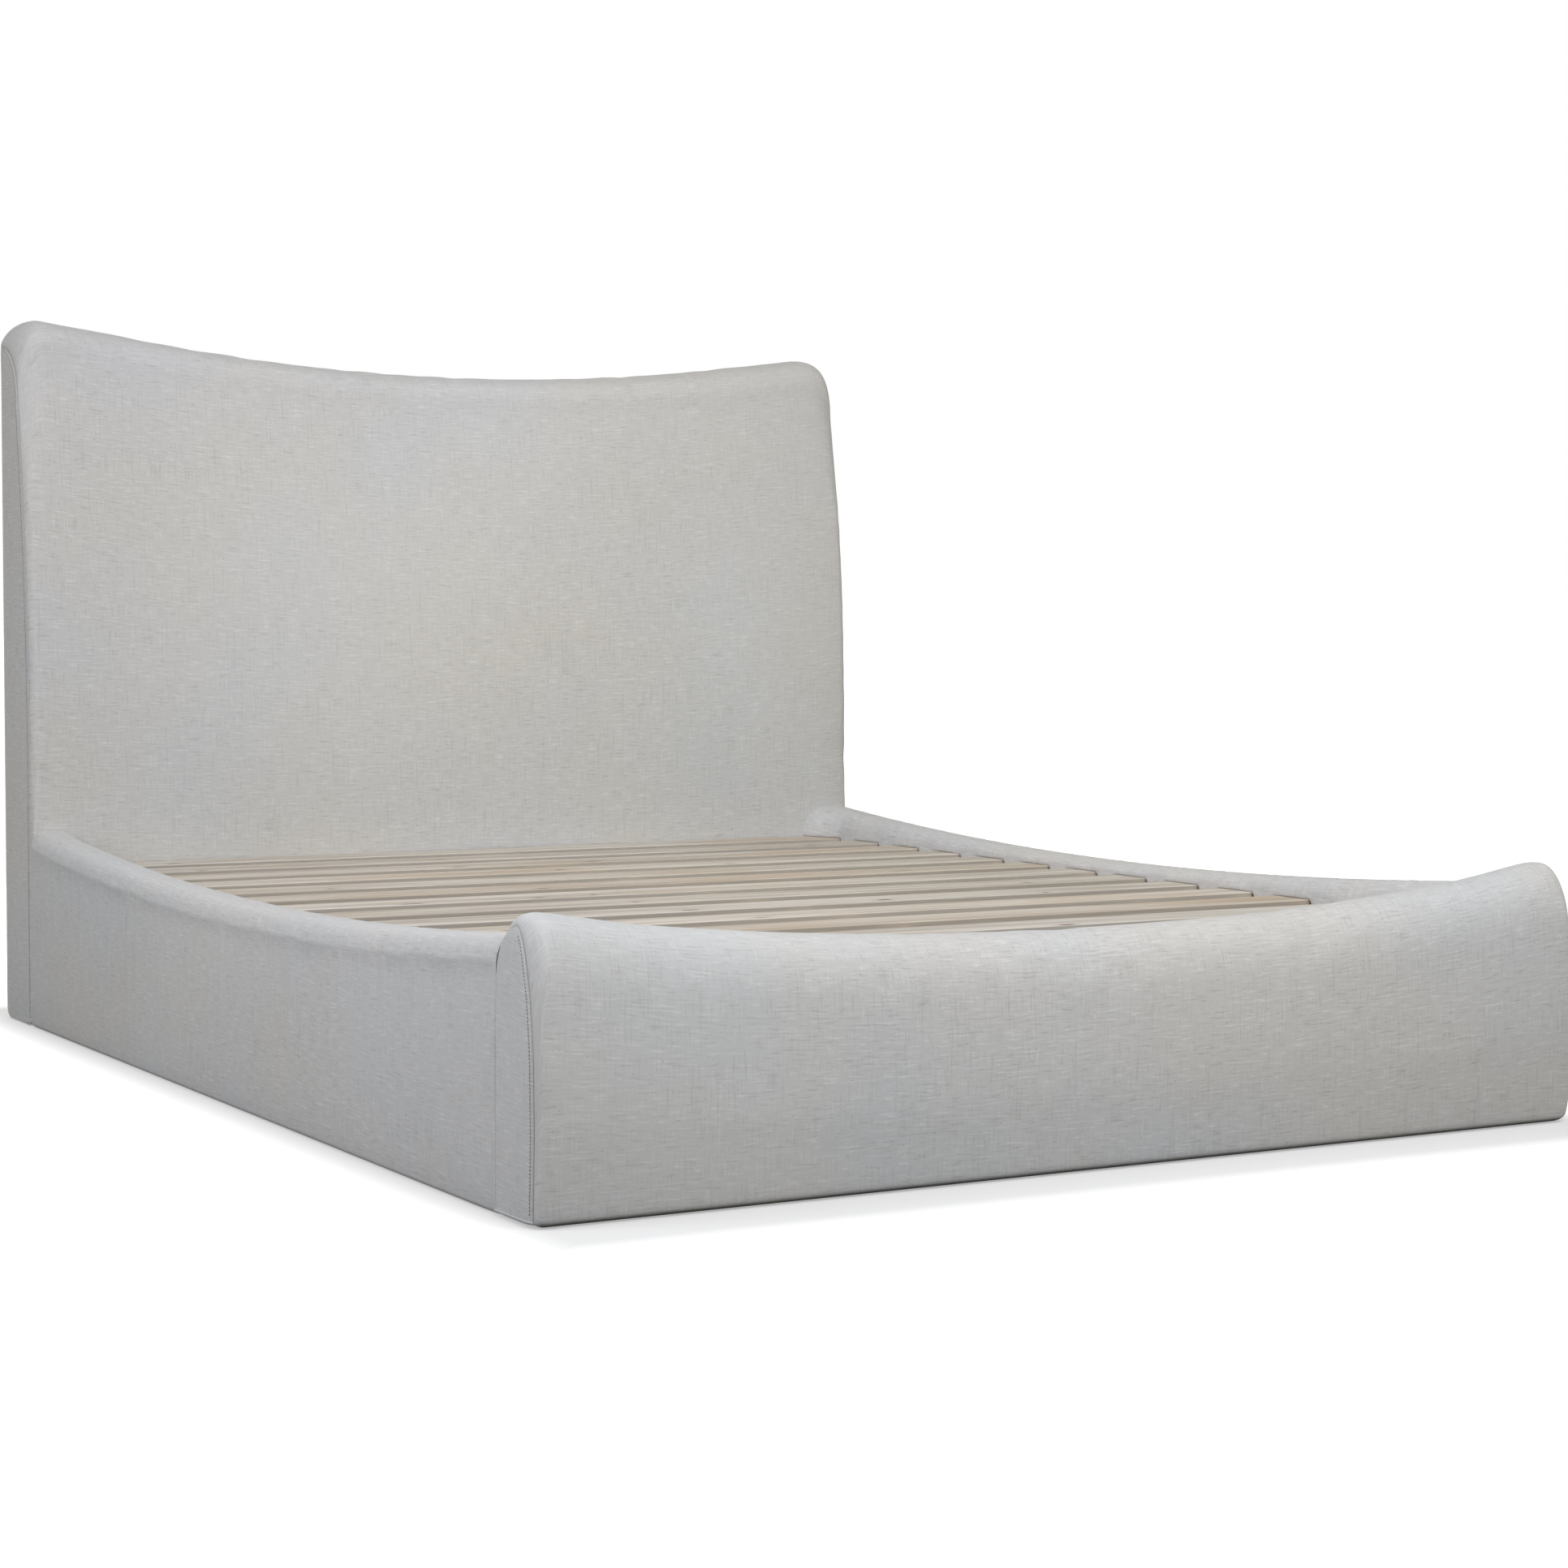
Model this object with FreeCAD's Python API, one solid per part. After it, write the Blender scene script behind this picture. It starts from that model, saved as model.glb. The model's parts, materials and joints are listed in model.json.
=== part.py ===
import FreeCAD, Part
import math
import os

# Upholstered sleigh bed for a queen-size mattress, in millimetres.
# Frame: +Z up, +Y towards the headboard, +X to the right as seen from the foot.
# The origin is on the floor, under the middle of the whole bed.

# ---------------------------------------------------------------- driving dimensions
BED_WIDTH = 1780.0             # headboard and footboard
BED_LENGTH = 2372.0
HEADBOARD_HEIGHT = 1342.0      # where the top curve would reach at the sides; the corners are rounded off below it
HEADBOARD_SAG = 84.0           # how far the top dips in the middle
HEADBOARD_DEPTH = 183.0        # at the bottom
HEADBOARD_LEAN_START = 480.0   # height where the front starts to curve back
HEADBOARD_LEAN_RADIUS = 4620.0
HEADBOARD_ROLL = 70.0          # radius of the rounded front top edge
HEADBOARD_TOP_RISE = 6.0       # how much the top still climbs from there to the rear edge
HEADBOARD_CORNER = 60.0        # rounding of the top corners seen from the front
FOOTBOARD_HEIGHT = 402.0       # likewise
FOOTBOARD_SAG = 60.0
FOOTBOARD_DEPTH = 124.0
FOOTBOARD_LEAN = 8.0           # how far the front leans back at full height
FOOTBOARD_ROLL = 50.0
FOOTBOARD_CORNER = 48.0
RAIL_PROUD = 4.0               # the side rails stand this far outside the boards' ends
RAIL_WIDTH = 106.0             # over the padding
RAIL_TOP_ENDS = 368.0          # top of the side rail where it meets the boards
RAIL_SAG = 43.0
RAIL_OUTER_ROLL = 28.0         # rounding radius of the outer top edge
RAIL_INNER_ROLL = 52.0         # rounding radius of the inner top edge
RAIL_LIP_BOTTOM = 288.0        # underside of the padded lip that overhangs the slat ends
LIP_EDGE = 2.0                 # least height of the lip's upright inner face

COVER_CLEAR = 6.0              # covers stop this far above the floor
FABRIC = 2.0                   # thickness of a cover
HEM_WIDTH = 30.0               # how far a cover turns in under its board
FRAME_BOTTOM = 8.0             # underside of the timber frames
FRAME_GAP = 0.3                # between a front panel and the timber behind it
PLY = 9.0
POST_WIDTH = 100.0
HEAD_FOAM = 25.0               # foam on the headboard frame
HEAD_TOP_RAIL_LOW = 1080.0
HEAD_MIDDLE_RAIL_LOW = 600.0
HEAD_BAR_HEIGHT = 95.0
HEAD_BAR_SETBACK = 42.0        # cross bars stop this far in front of the headboard's rear
HEAD_PANEL_BELOW_TOP = 147.0   # front panel's top edge, below the dip in the headboard's top
FOOT_FOAM = 16.0               # foam in front of the footboard frame
FOOT_REAR_FOAM = 10.0
FOOT_TOP_FOAM = 20.0
FOOT_TOP_RAIL_LOW = 240.0
FOOT_BAR_HEIGHT = 70.0
FOOT_PANEL_BELOW_TOP = 75.0
FOAM_SIDE = 20.0               # foam between a frame's end and its side facing

DECK_TOP = 305.0
SLAT_COUNT = 13
SLAT_WIDTH = 90.0
SLAT_PITCH = 154.3
SLAT_THICK = 20.0
SLAT_LENGTH = 1640.0
SLAT_HEAD_GAP = 4.0            # headboard to the first slat
LEDGER_WIDTH = 38.0
LEDGER_HEIGHT = 38.0
BEAM_WIDTH = 45.0
BEAM_HEIGHT = 70.0

HANGER_SHEET = 3.0
HANGER_REACH = 45.0            # how far a hanger carries the beam's end
HANGER_FLANGE = 30.0           # width of its plate beside the beam
HANGER_BELOW_DECK = 20.0       # top of the hanger, below the slats
HANGER_CLEAR = 0.3

LEG_SIDE = 45.0
LEG_BOTTOM = 16.0              # underside of a centre leg, above the floor
LEG_SPACING = 900.0            # between the two centre legs, along Y
INSERT_RADIUS = 8.0
INSERT_HEIGHT = 24.0
STUD_RADIUS = 4.0
STUD_LOW = 4.0                 # lower end of the stud, inside its pad
STUD_TRAVEL = 15.0             # how far a leveller screws out
STUD_SPARE = 7.0               # stud left above the insert when fully screwed out
STUD_ROOM = 5.0                # free bore above the stud
COLLAR_GAP = 1.0               # between the pad and the stud's hexagon
PAD_RADIUS = 20.0
PAD_TAPER = 0.8                # top radius as a share of the bottom radius
PAD_HEIGHT = 9.0
RUN_CLEAR = 0.08               # radial clearance of a running fit

BOLT_RADIUS = 4.0
BOLT_HEAD_AF = 13.0
BOLT_HEAD_HEIGHT = 5.3
BRACKET_THICK = 4.0
BRACKET_LEG = 60.0
BRACKET_LOW = 90.0
BRACKET_HIGH = 230.0
BRACKET_BOLT_HEIGHTS = (120.0, 200.0)
BRACKET_BOLT_INSET = 35.0      # rail bolts, from the board they stand next to
HEAD_BOLT_REACH = 110.0        # length of the bolts into the headboard and footboard posts
FOOT_BOLT_REACH = 75.0
SCREW_RADIUS = 2.0
SCREW_HEAD_RADIUS = 4.5
SCREW_HEAD_DEPTH = 3.0
SCREW_LENGTH = 45.0
GLIDE_RADIUS = 19.0
GLIDE_TAPER = 2.0
HEAD_GLIDE_SETBACK = 75.0      # from a board's front face
FOOT_GLIDE_SETBACK = 66.0

# ---------------------------------------------------------------- derived positions
HALF_WIDTH = BED_WIDTH / 2
FOOT_FRONT = -BED_LENGTH / 2
FOOT_REAR = FOOT_FRONT + FOOTBOARD_DEPTH
HEAD_REAR = BED_LENGTH / 2
HEAD_FRONT = HEAD_REAR - HEADBOARD_DEPTH
RAIL_OUTER = HALF_WIDTH + RAIL_PROUD
RAIL_INNER = RAIL_OUTER - RAIL_WIDTH
RAIL_GAP = 0.5                 # between a rail end and the board it meets
RAIL_FOOT_END = FOOT_REAR + RAIL_GAP
RAIL_HEAD_END = HEAD_FRONT - RAIL_GAP
RAIL_MIDDLE = (RAIL_FOOT_END + RAIL_HEAD_END) / 2
RAIL_HALF_LENGTH = (RAIL_HEAD_END - RAIL_FOOT_END) / 2
DECK_BOTTOM = DECK_TOP - SLAT_THICK
BOARD_INNER = 826.0            # timber board inside a side rail
BOARD_OUTER = 851.0
BOARD_TOP = 292.0
RAIL_STEP = BOARD_INNER - FABRIC    # the rail's inner face below its lip
POST_OUTER = HALF_WIDTH - FABRIC - FOAM_SIDE
POST_INNER = POST_OUTER - POST_WIDTH
BRACKET_BOLT_X = RAIL_STEP - 30.0
SECTION_STATIONS = (-1.0, -0.5, 0.0, 0.5, 1.0)
PAST_REAR = 15.0               # a headboard shape runs on this far, then is cut off flat
HALF_RIGHT_ANGLE = math.sqrt(0.5)
BIG = 4000.0


def vec(x, y, z):
    return FreeCAD.Vector(x, y, z)


def box(x0, x1, y0, y1, z0, z1):
    return Part.makeBox(x1 - x0, y1 - y0, z1 - z0, vec(x0, y0, z0))


def line(a, b):
    return Part.makeLine(a, b)


def arc(a, b, c):
    return Part.Arc(a, b, c).toShape()


def cylinder(radius, start, end):
    axis = end.sub(start)
    return Part.makeCylinder(radius, axis.Length, start, axis)


def hexagon_head(across_flats, height, start, direction):
    """Hexagon prism on start, growing along direction."""
    corner = across_flats / math.sqrt(3)
    prism = Part.Face(Part.makePolygon([
        vec(corner * math.cos(math.radians(60 * i)), corner * math.sin(math.radians(60 * i)), 0)
        for i in range(7)
    ])).extrude(vec(0, 0, height))
    turn = FreeCAD.Rotation(vec(0, 0, 1), direction)
    prism.Placement = FreeCAD.Placement(start, turn)
    return prism


def biggest_solid(shape):
    return max(shape.Solids, key=lambda solid: solid.Volume)


def export(name, shape):
    """Write one node. Several solids go out as one compound."""
    solids = shape.Solids
    result = solids[0] if len(solids) == 1 else Part.makeCompound(solids)
    result.exportStep("parts/" + name + ".step")
    print("%-28s solids %2d  valid %s  volume %.1f" % (name, len(solids), result.isValid(), result.Volume))


# ---------------------------------------------------------------- headboard and footboard shapes
def sag(share, depth):
    """Drop of a concave top edge at a share (-1 to 1) of the half width."""
    return depth * (1 - share * share)


def headboard_front(z):
    """Y of the headboard's front face at height z: upright, then curving back."""
    rise = max(0.0, z - HEADBOARD_LEAN_START)
    return HEAD_FRONT + rise * rise / (2 * HEADBOARD_LEAN_RADIUS)


def footboard_front(z):
    """Y of the footboard's front face at height z: a slight lean that grows towards the top."""
    share = z / FOOTBOARD_HEIGHT
    return FOOT_FRONT + FOOTBOARD_LEAN * share * share


def front_edges(x, front_curve, breaks, front, spring):
    """Edges up the front of a section at x, from the bottom hem to the spring of its roll."""
    points = [vec(x, front_curve(z) + front, z) for z in [COVER_CLEAR] + breaks + [spring]]
    edges = []
    for low, high in zip(points[:-1], points[1:]):
        middle_z = (low.z + high.z) / 2
        middle = vec(x, front_curve(middle_z) + front, middle_z)
        straight = abs(middle.y - (low.y + high.y) / 2) < 1e-6
        edges.append(line(low, high) if straight else arc(low, middle, high))
    return edges, points[0], points[-1]


def headboard_section(x, front, top):
    """Section at x: the front face rounds over, then the top climbs a little to the rear edge."""
    crown_z = HEADBOARD_HEIGHT - top - sag(x / HALF_WIDTH, HEADBOARD_SAG)
    roll_z = crown_z - HEADBOARD_TOP_RISE
    spring = roll_z - HEADBOARD_ROLL
    edges, base, top_front = front_edges(x, headboard_front, [HEADBOARD_LEAN_START], front, spring)
    diagonal = HEADBOARD_ROLL * (1 - HALF_RIGHT_ANGLE)
    on_roll = vec(x, top_front.y + diagonal, roll_z - diagonal)
    roll_end = vec(x, top_front.y + HEADBOARD_ROLL, roll_z)
    past_crown = vec(x, HEAD_REAR + PAST_REAR, crown_z)
    past_base = vec(x, HEAD_REAR + PAST_REAR, COVER_CLEAR)
    edges.append(arc(top_front, on_roll, roll_end))
    edges.append(line(roll_end, past_crown))
    edges.append(line(past_crown, past_base))
    edges.append(line(past_base, base))
    return Part.Wire(edges)


def footboard_section(x, front, rear, top):
    """Section at x: a rolled top between a leaning front and an upright rear."""
    crown_z = FOOTBOARD_HEIGHT - top - sag(x / HALF_WIDTH, FOOTBOARD_SAG)
    spring = crown_z - FOOTBOARD_ROLL
    edges, base, top_front = front_edges(x, footboard_front, [], front, spring)
    rear_y = FOOT_REAR - rear
    crown = vec(x, (top_front.y + rear_y) / 2, crown_z)
    top_rear = vec(x, rear_y, spring)
    base_rear = vec(x, rear_y, COVER_CLEAR)
    edges.append(arc(top_front, crown, top_rear))
    edges.append(line(top_rear, base_rear))
    edges.append(line(base_rear, base))
    return Part.Wire(edges)


def rounded_outline(half, top, corner):
    """Slab seen from the front, with its two top corners rounded, thick enough to cut any board."""
    diagonal = corner * (1 - HALF_RIGHT_ANGLE)
    points_right = (vec(half, -BIG, top - corner), vec(half - diagonal, -BIG, top - diagonal),
                    vec(half - corner, -BIG, top))
    points_left = [vec(-p.x, p.y, p.z) for p in points_right]
    edges = [
        line(vec(-half, -BIG, 0), vec(half, -BIG, 0)),
        line(vec(half, -BIG, 0), points_right[0]),
        arc(*points_right),
        line(points_right[2], points_left[2]),
        arc(points_left[2], points_left[1], points_left[0]),
        line(points_left[0], vec(-half, -BIG, 0)),
    ]
    return Part.Face(Part.Wire(edges)).extrude(vec(0, 2 * BIG, 0))


def board_body(sections, height, depth_sag, corner, side):
    """Loft through the sections, with its top corners rounded to meet the scooped top."""
    half = HALF_WIDTH - side
    corner_top = height - sag((half - corner) / half, depth_sag) + 1.5
    body = Part.makeLoft(sections, True, False)
    return biggest_solid(body.common(rounded_outline(half, corner_top, corner)))


def stations(side):
    return [share * (HALF_WIDTH - side) for share in SECTION_STATIONS]


def headboard_body(front, top, side):
    """Headboard shape shrunk by front, top and side. It runs on past the rear."""
    sections = [headboard_section(x, front, top) for x in stations(side)]
    return board_body(sections, HEADBOARD_HEIGHT - top, HEADBOARD_SAG, HEADBOARD_CORNER - top / 2, side)


def footboard_body(front, rear, top, side):
    """Footboard shape shrunk by front, rear, top and side."""
    sections = [footboard_section(x, front, rear, top) for x in stations(side)]
    return board_body(sections, FOOTBOARD_HEIGHT - top, FOOTBOARD_SAG, FOOTBOARD_CORNER - top / 2, side)


def behind_front(front_curve, breaks, front, height):
    """Everything behind a board's front surface moved in by front, up to height."""
    edges, base, top = front_edges(-BIG, front_curve, breaks, front, height)
    far_top = vec(-BIG, BIG, top.z)
    far_base = vec(-BIG, BIG, base.z)
    edges.append(line(top, far_top))
    edges.append(line(far_top, far_base))
    edges.append(line(far_base, base))
    return Part.Face(Part.Wire(edges)).extrude(vec(2 * BIG, 0, 0))


def above_frame_bottom(shape):
    return shape.common(box(-BIG, BIG, -BIG, BIG, FRAME_BOTTOM, BIG))


# ---------------------------------------------------------------- headboard
def bolt_holes():
    """Clearance cylinders for every bracket bolt, to cut out of whatever it passes."""
    holes = []
    for start, end in bracket_bolt_lines():
        holes.append(cylinder(BOLT_RADIUS + RUN_CLEAR, start, end))
    return Part.makeCompound(holes)


def headboard_bar(frame, low, height):
    """Cross bar between the two posts."""
    back_y = HEAD_REAR - HEAD_BAR_SETBACK
    return biggest_solid(frame.common(box(-POST_INNER, POST_INNER, -BIG, back_y, low, low + height)))


def make_headboard(holes):
    back_y = HEAD_REAR - FABRIC
    facing_x = HALF_WIDTH - FABRIC
    board_in = FABRIC + HEAD_FOAM
    frame_in = board_in + PLY
    side_in = FABRIC + FOAM_SIDE
    before_back = box(-BIG, BIG, -BIG, back_y, 0, BIG)
    outer = headboard_body(0, 0, 0).common(box(-BIG, BIG, -BIG, HEAD_REAR, 0, BIG))
    lining = headboard_body(FABRIC, FABRIC, FABRIC)
    board = headboard_body(board_in, board_in, side_in)
    behind_panel = behind_front(headboard_front, [HEADBOARD_LEAN_START], frame_in - FRAME_GAP, HEADBOARD_HEIGHT)
    behind_front_of_frame = behind_front(headboard_front, [HEADBOARD_LEAN_START], frame_in, HEADBOARD_HEIGHT)
    frame = above_frame_bottom(board).common(behind_front_of_frame).common(before_back)

    open_base = box(-BIG, BIG, HEAD_FRONT + HEM_WIDTH, BIG, 0, FRAME_BOTTOM)
    wrap = outer.common(box(-facing_x, facing_x, -BIG, back_y, 0, BIG))
    wrap = wrap.cut(above_frame_bottom(lining)).cut(open_base)
    export("headboard_front_cover", biggest_solid(wrap.cut(holes)))
    export("headboard_left_facing", outer.common(box(-BIG, -facing_x, -BIG, BIG, 0, BIG)))
    export("headboard_right_facing", outer.common(box(facing_x, BIG, -BIG, BIG, 0, BIG)))
    back = outer.common(box(-facing_x, facing_x, back_y, BIG, FRAME_BOTTOM, BIG))
    export("headboard_back_cover", biggest_solid(back))

    foam = above_frame_bottom(lining).common(before_back).cut(board)
    export("headboard_foam", biggest_solid(foam.cut(holes)))
    panel_top = HEADBOARD_HEIGHT - HEADBOARD_SAG - HEAD_PANEL_BELOW_TOP
    panel = above_frame_bottom(board).cut(behind_panel)
    panel = panel.common(box(-BIG, BIG, -BIG, BIG, 0, panel_top))
    export("headboard_front_panel", biggest_solid(panel.cut(holes)))

    frame = frame.cut(holes)
    export("headboard_left_post", biggest_solid(frame.common(
        box(-POST_OUTER, -POST_INNER, -BIG, BIG, 0, HEAD_TOP_RAIL_LOW))))
    export("headboard_right_post", biggest_solid(frame.common(
        box(POST_INNER, POST_OUTER, -BIG, BIG, 0, HEAD_TOP_RAIL_LOW))))
    export("headboard_top_rail", biggest_solid(frame.common(
        box(-POST_OUTER, POST_OUTER, -BIG, BIG, HEAD_TOP_RAIL_LOW, BIG))))
    export("headboard_middle_rail", headboard_bar(frame, HEAD_MIDDLE_RAIL_LOW, HEAD_BAR_HEIGHT))
    export("headboard_bottom_rail", headboard_bar(frame, FRAME_BOTTOM, HEAD_BAR_HEIGHT))


# ---------------------------------------------------------------- footboard
def make_footboard(holes):
    rear_in = FABRIC + FOOT_REAR_FOAM
    top_in = FABRIC + FOOT_TOP_FOAM
    side_in = FABRIC + FOAM_SIDE
    board_in = FABRIC + FOOT_FOAM
    frame_in = board_in + PLY
    outer = footboard_body(0, 0, 0, 0)
    lining = footboard_body(FABRIC, FABRIC, FABRIC, FABRIC)
    board = footboard_body(board_in, rear_in, top_in, side_in)
    behind_panel = behind_front(footboard_front, [], frame_in - FRAME_GAP, FOOTBOARD_HEIGHT)
    frame = above_frame_bottom(board).common(behind_front(footboard_front, [], frame_in, FOOTBOARD_HEIGHT))

    facing_x = HALF_WIDTH - FABRIC
    open_base = box(-BIG, BIG, FOOT_FRONT + HEM_WIDTH, FOOT_REAR - HEM_WIDTH, 0, FRAME_BOTTOM)
    wrap = outer.common(box(-facing_x, facing_x, -BIG, BIG, 0, BIG))
    wrap = wrap.cut(above_frame_bottom(lining)).cut(open_base)
    export("footboard_cover", biggest_solid(wrap.cut(holes)))
    export("footboard_left_facing", outer.common(box(-BIG, -facing_x, -BIG, BIG, 0, BIG)))
    export("footboard_right_facing", outer.common(box(facing_x, BIG, -BIG, BIG, 0, BIG)))
    foam = above_frame_bottom(lining).cut(board)
    export("footboard_foam", biggest_solid(foam.cut(holes)))

    panel_top = FOOTBOARD_HEIGHT - FOOTBOARD_SAG - FOOT_PANEL_BELOW_TOP
    panel = above_frame_bottom(board).cut(behind_panel)
    panel = panel.common(box(-BIG, BIG, -BIG, BIG, 0, panel_top))
    export("footboard_front_panel", biggest_solid(panel))

    frame = frame.cut(holes)
    export("footboard_left_post", biggest_solid(frame.common(
        box(-POST_OUTER, -POST_INNER, -BIG, BIG, 0, FOOT_TOP_RAIL_LOW))))
    export("footboard_right_post", biggest_solid(frame.common(
        box(POST_INNER, POST_OUTER, -BIG, BIG, 0, FOOT_TOP_RAIL_LOW))))
    export("footboard_top_rail", biggest_solid(frame.common(
        box(-POST_OUTER, POST_OUTER, -BIG, BIG, FOOT_TOP_RAIL_LOW, BIG))))
    export("footboard_bottom_rail", biggest_solid(frame.common(
        box(-POST_INNER, POST_INNER, -BIG, BIG, 0, FRAME_BOTTOM + FOOT_BAR_HEIGHT))))


# ---------------------------------------------------------------- side rails
def rail_top(share):
    """Height of the side rail's top at a share (-1 to 1) of its half length."""
    return RAIL_TOP_ENDS - sag(share, RAIL_SAG)


def rail_section(y, top, inset, bottom):
    """Right-hand rail section: a top rolled over on both edges, and a lip over the slat ends."""
    inner = RAIL_INNER + inset
    outer = RAIL_OUTER - inset
    step = RAIL_STEP + inset
    lip = RAIL_LIP_BOTTOM + inset
    top = top - inset
    roll_out = RAIL_OUTER_ROLL - inset
    roll_in_x = RAIL_INNER_ROLL - inset
    roll_in_z = min(roll_in_x, top - lip - LIP_EDGE)
    inner_low = vec(inner, y, top - roll_in_z)
    inner_mid = vec(inner + roll_in_x * (1 - HALF_RIGHT_ANGLE), y, top - roll_in_z * (1 - HALF_RIGHT_ANGLE))
    inner_high = vec(inner + roll_in_x, y, top)
    outer_high = vec(outer - roll_out, y, top)
    outer_mid = vec(outer - roll_out * (1 - HALF_RIGHT_ANGLE), y, top - roll_out * (1 - HALF_RIGHT_ANGLE))
    outer_low = vec(outer, y, top - roll_out)
    return Part.Wire([
        arc(inner_low, inner_mid, inner_high),
        line(inner_high, outer_high),
        arc(outer_high, outer_mid, outer_low),
        line(outer_low, vec(outer, y, bottom)),
        line(vec(outer, y, bottom), vec(step, y, bottom)),
        line(vec(step, y, bottom), vec(step, y, lip)),
        line(vec(step, y, lip), vec(inner, y, lip)),
        line(vec(inner, y, lip), inner_low),
    ])


def rail_body(inset, bottom):
    sections = []
    for share in SECTION_STATIONS:
        y = RAIL_MIDDLE + share * RAIL_HALF_LENGTH
        sections.append(rail_section(y, rail_top(share), inset, bottom))
    return Part.makeLoft(sections, True, False)


def slat_far_edges():
    """Y of each slat's edge nearest the headboard."""
    first = HEAD_FRONT - SLAT_HEAD_GAP
    return [first - i * SLAT_PITCH for i in range(SLAT_COUNT)]


def slat_dents(grow):
    """Dents pressed into the right rail's lip by the slat ends, grown by grow."""
    room = 0.5 + grow
    dents = []
    for edge in slat_far_edges():
        dents.append(box(RAIL_INNER - 5, SLAT_LENGTH / 2 + room, edge - SLAT_WIDTH - room, edge + room,
                         RAIL_LIP_BOTTOM - 5, BIG))
    return Part.makeCompound(dents)


def both_sides(name, right_shape):
    """Write a right-hand piece and its mirror image."""
    export("right_" + name, right_shape)
    export("left_" + name, right_shape.mirror(vec(0, 0, 0), vec(1, 0, 0)))


def make_side_rails(holes, screw_holes):
    outer = rail_body(0, COVER_CLEAR).cut(slat_dents(0))
    lining = rail_body(FABRIC, FRAME_BOTTOM).cut(slat_dents(FABRIC))
    board = box(BOARD_INNER, BOARD_OUTER, RAIL_FOOT_END, RAIL_HEAD_END, FRAME_BOTTOM, BOARD_TOP)
    both_sides("rail_cover", biggest_solid(outer.cut(lining).cut(holes)))
    both_sides("rail_foam", biggest_solid(lining.cut(board).cut(holes)))
    both_sides("rail_board", board.cut(holes))
    ledger = box(RAIL_STEP - LEDGER_WIDTH, RAIL_STEP, RAIL_FOOT_END + 5, RAIL_HEAD_END - 5,
                 DECK_BOTTOM - LEDGER_HEIGHT, DECK_BOTTOM)
    both_sides("slat_ledger", ledger.cut(screw_holes))


# ---------------------------------------------------------------- slats and their screws
def screw_places():
    x = RAIL_STEP - LEDGER_WIDTH / 2
    return [(side * x, edge - SLAT_WIDTH / 2) for edge in slat_far_edges() for side in (-1, 1)]


def screw(x, y, extra):
    """Countersunk screw with its head flush in the slat, grown by extra for its hole."""
    head = Part.makeCone(SCREW_RADIUS + extra, SCREW_HEAD_RADIUS + extra, SCREW_HEAD_DEPTH,
                         vec(x, y, DECK_TOP - SCREW_HEAD_DEPTH))
    shank = cylinder(SCREW_RADIUS + extra, vec(x, y, DECK_TOP - SCREW_LENGTH - extra),
                     vec(x, y, DECK_TOP - SCREW_HEAD_DEPTH))
    return head.fuse(shank)


def make_slats():
    softened = 2.0
    for number, edge in enumerate(slat_far_edges(), start=1):
        blank = box(-SLAT_LENGTH / 2, SLAT_LENGTH / 2, edge - SLAT_WIDTH, edge, DECK_BOTTOM, DECK_TOP)
        long_edges = [e for e in blank.Edges if abs(e.BoundBox.XLength - SLAT_LENGTH) < 1]
        slat = blank.makeFillet(softened, long_edges)
        x = RAIL_STEP - LEDGER_WIDTH / 2
        for side in (-1, 1):
            slat = slat.cut(screw(side * x, edge - SLAT_WIDTH / 2, RUN_CLEAR))
        export("slat_%02d" % number, slat)
    screws = [screw(x, y, 0) for x, y in screw_places()]
    export("slat_screws", Part.makeCompound(screws))


# ---------------------------------------------------------------- centre beam and legs
def leg_places():
    return (("foot", -LEG_SPACING / 2), ("head", LEG_SPACING / 2))


def hanger(wall_y, inward):
    """U-shaped steel hanger fixed to a board, holding one end of the centre beam."""
    half = BEAM_WIDTH / 2 + HANGER_CLEAR
    low = DECK_BOTTOM - BEAM_HEIGHT
    high = DECK_BOTTOM - HANGER_BELOW_DECK
    y0, y1 = sorted((wall_y, wall_y + inward * HANGER_REACH))
    cradle = box(-half - HANGER_SHEET, half + HANGER_SHEET, y0, y1, low - HANGER_SHEET, high)
    cradle = cradle.cut(box(-half, half, y0 - 1, y1 + 1, low, DECK_BOTTOM))
    p0, p1 = sorted((wall_y, wall_y + inward * HANGER_SHEET))
    plate = box(-half - HANGER_FLANGE, half + HANGER_FLANGE, p0, p1, low - HANGER_SHEET, high)
    return cradle.fuse(plate).removeSplitter()


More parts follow.
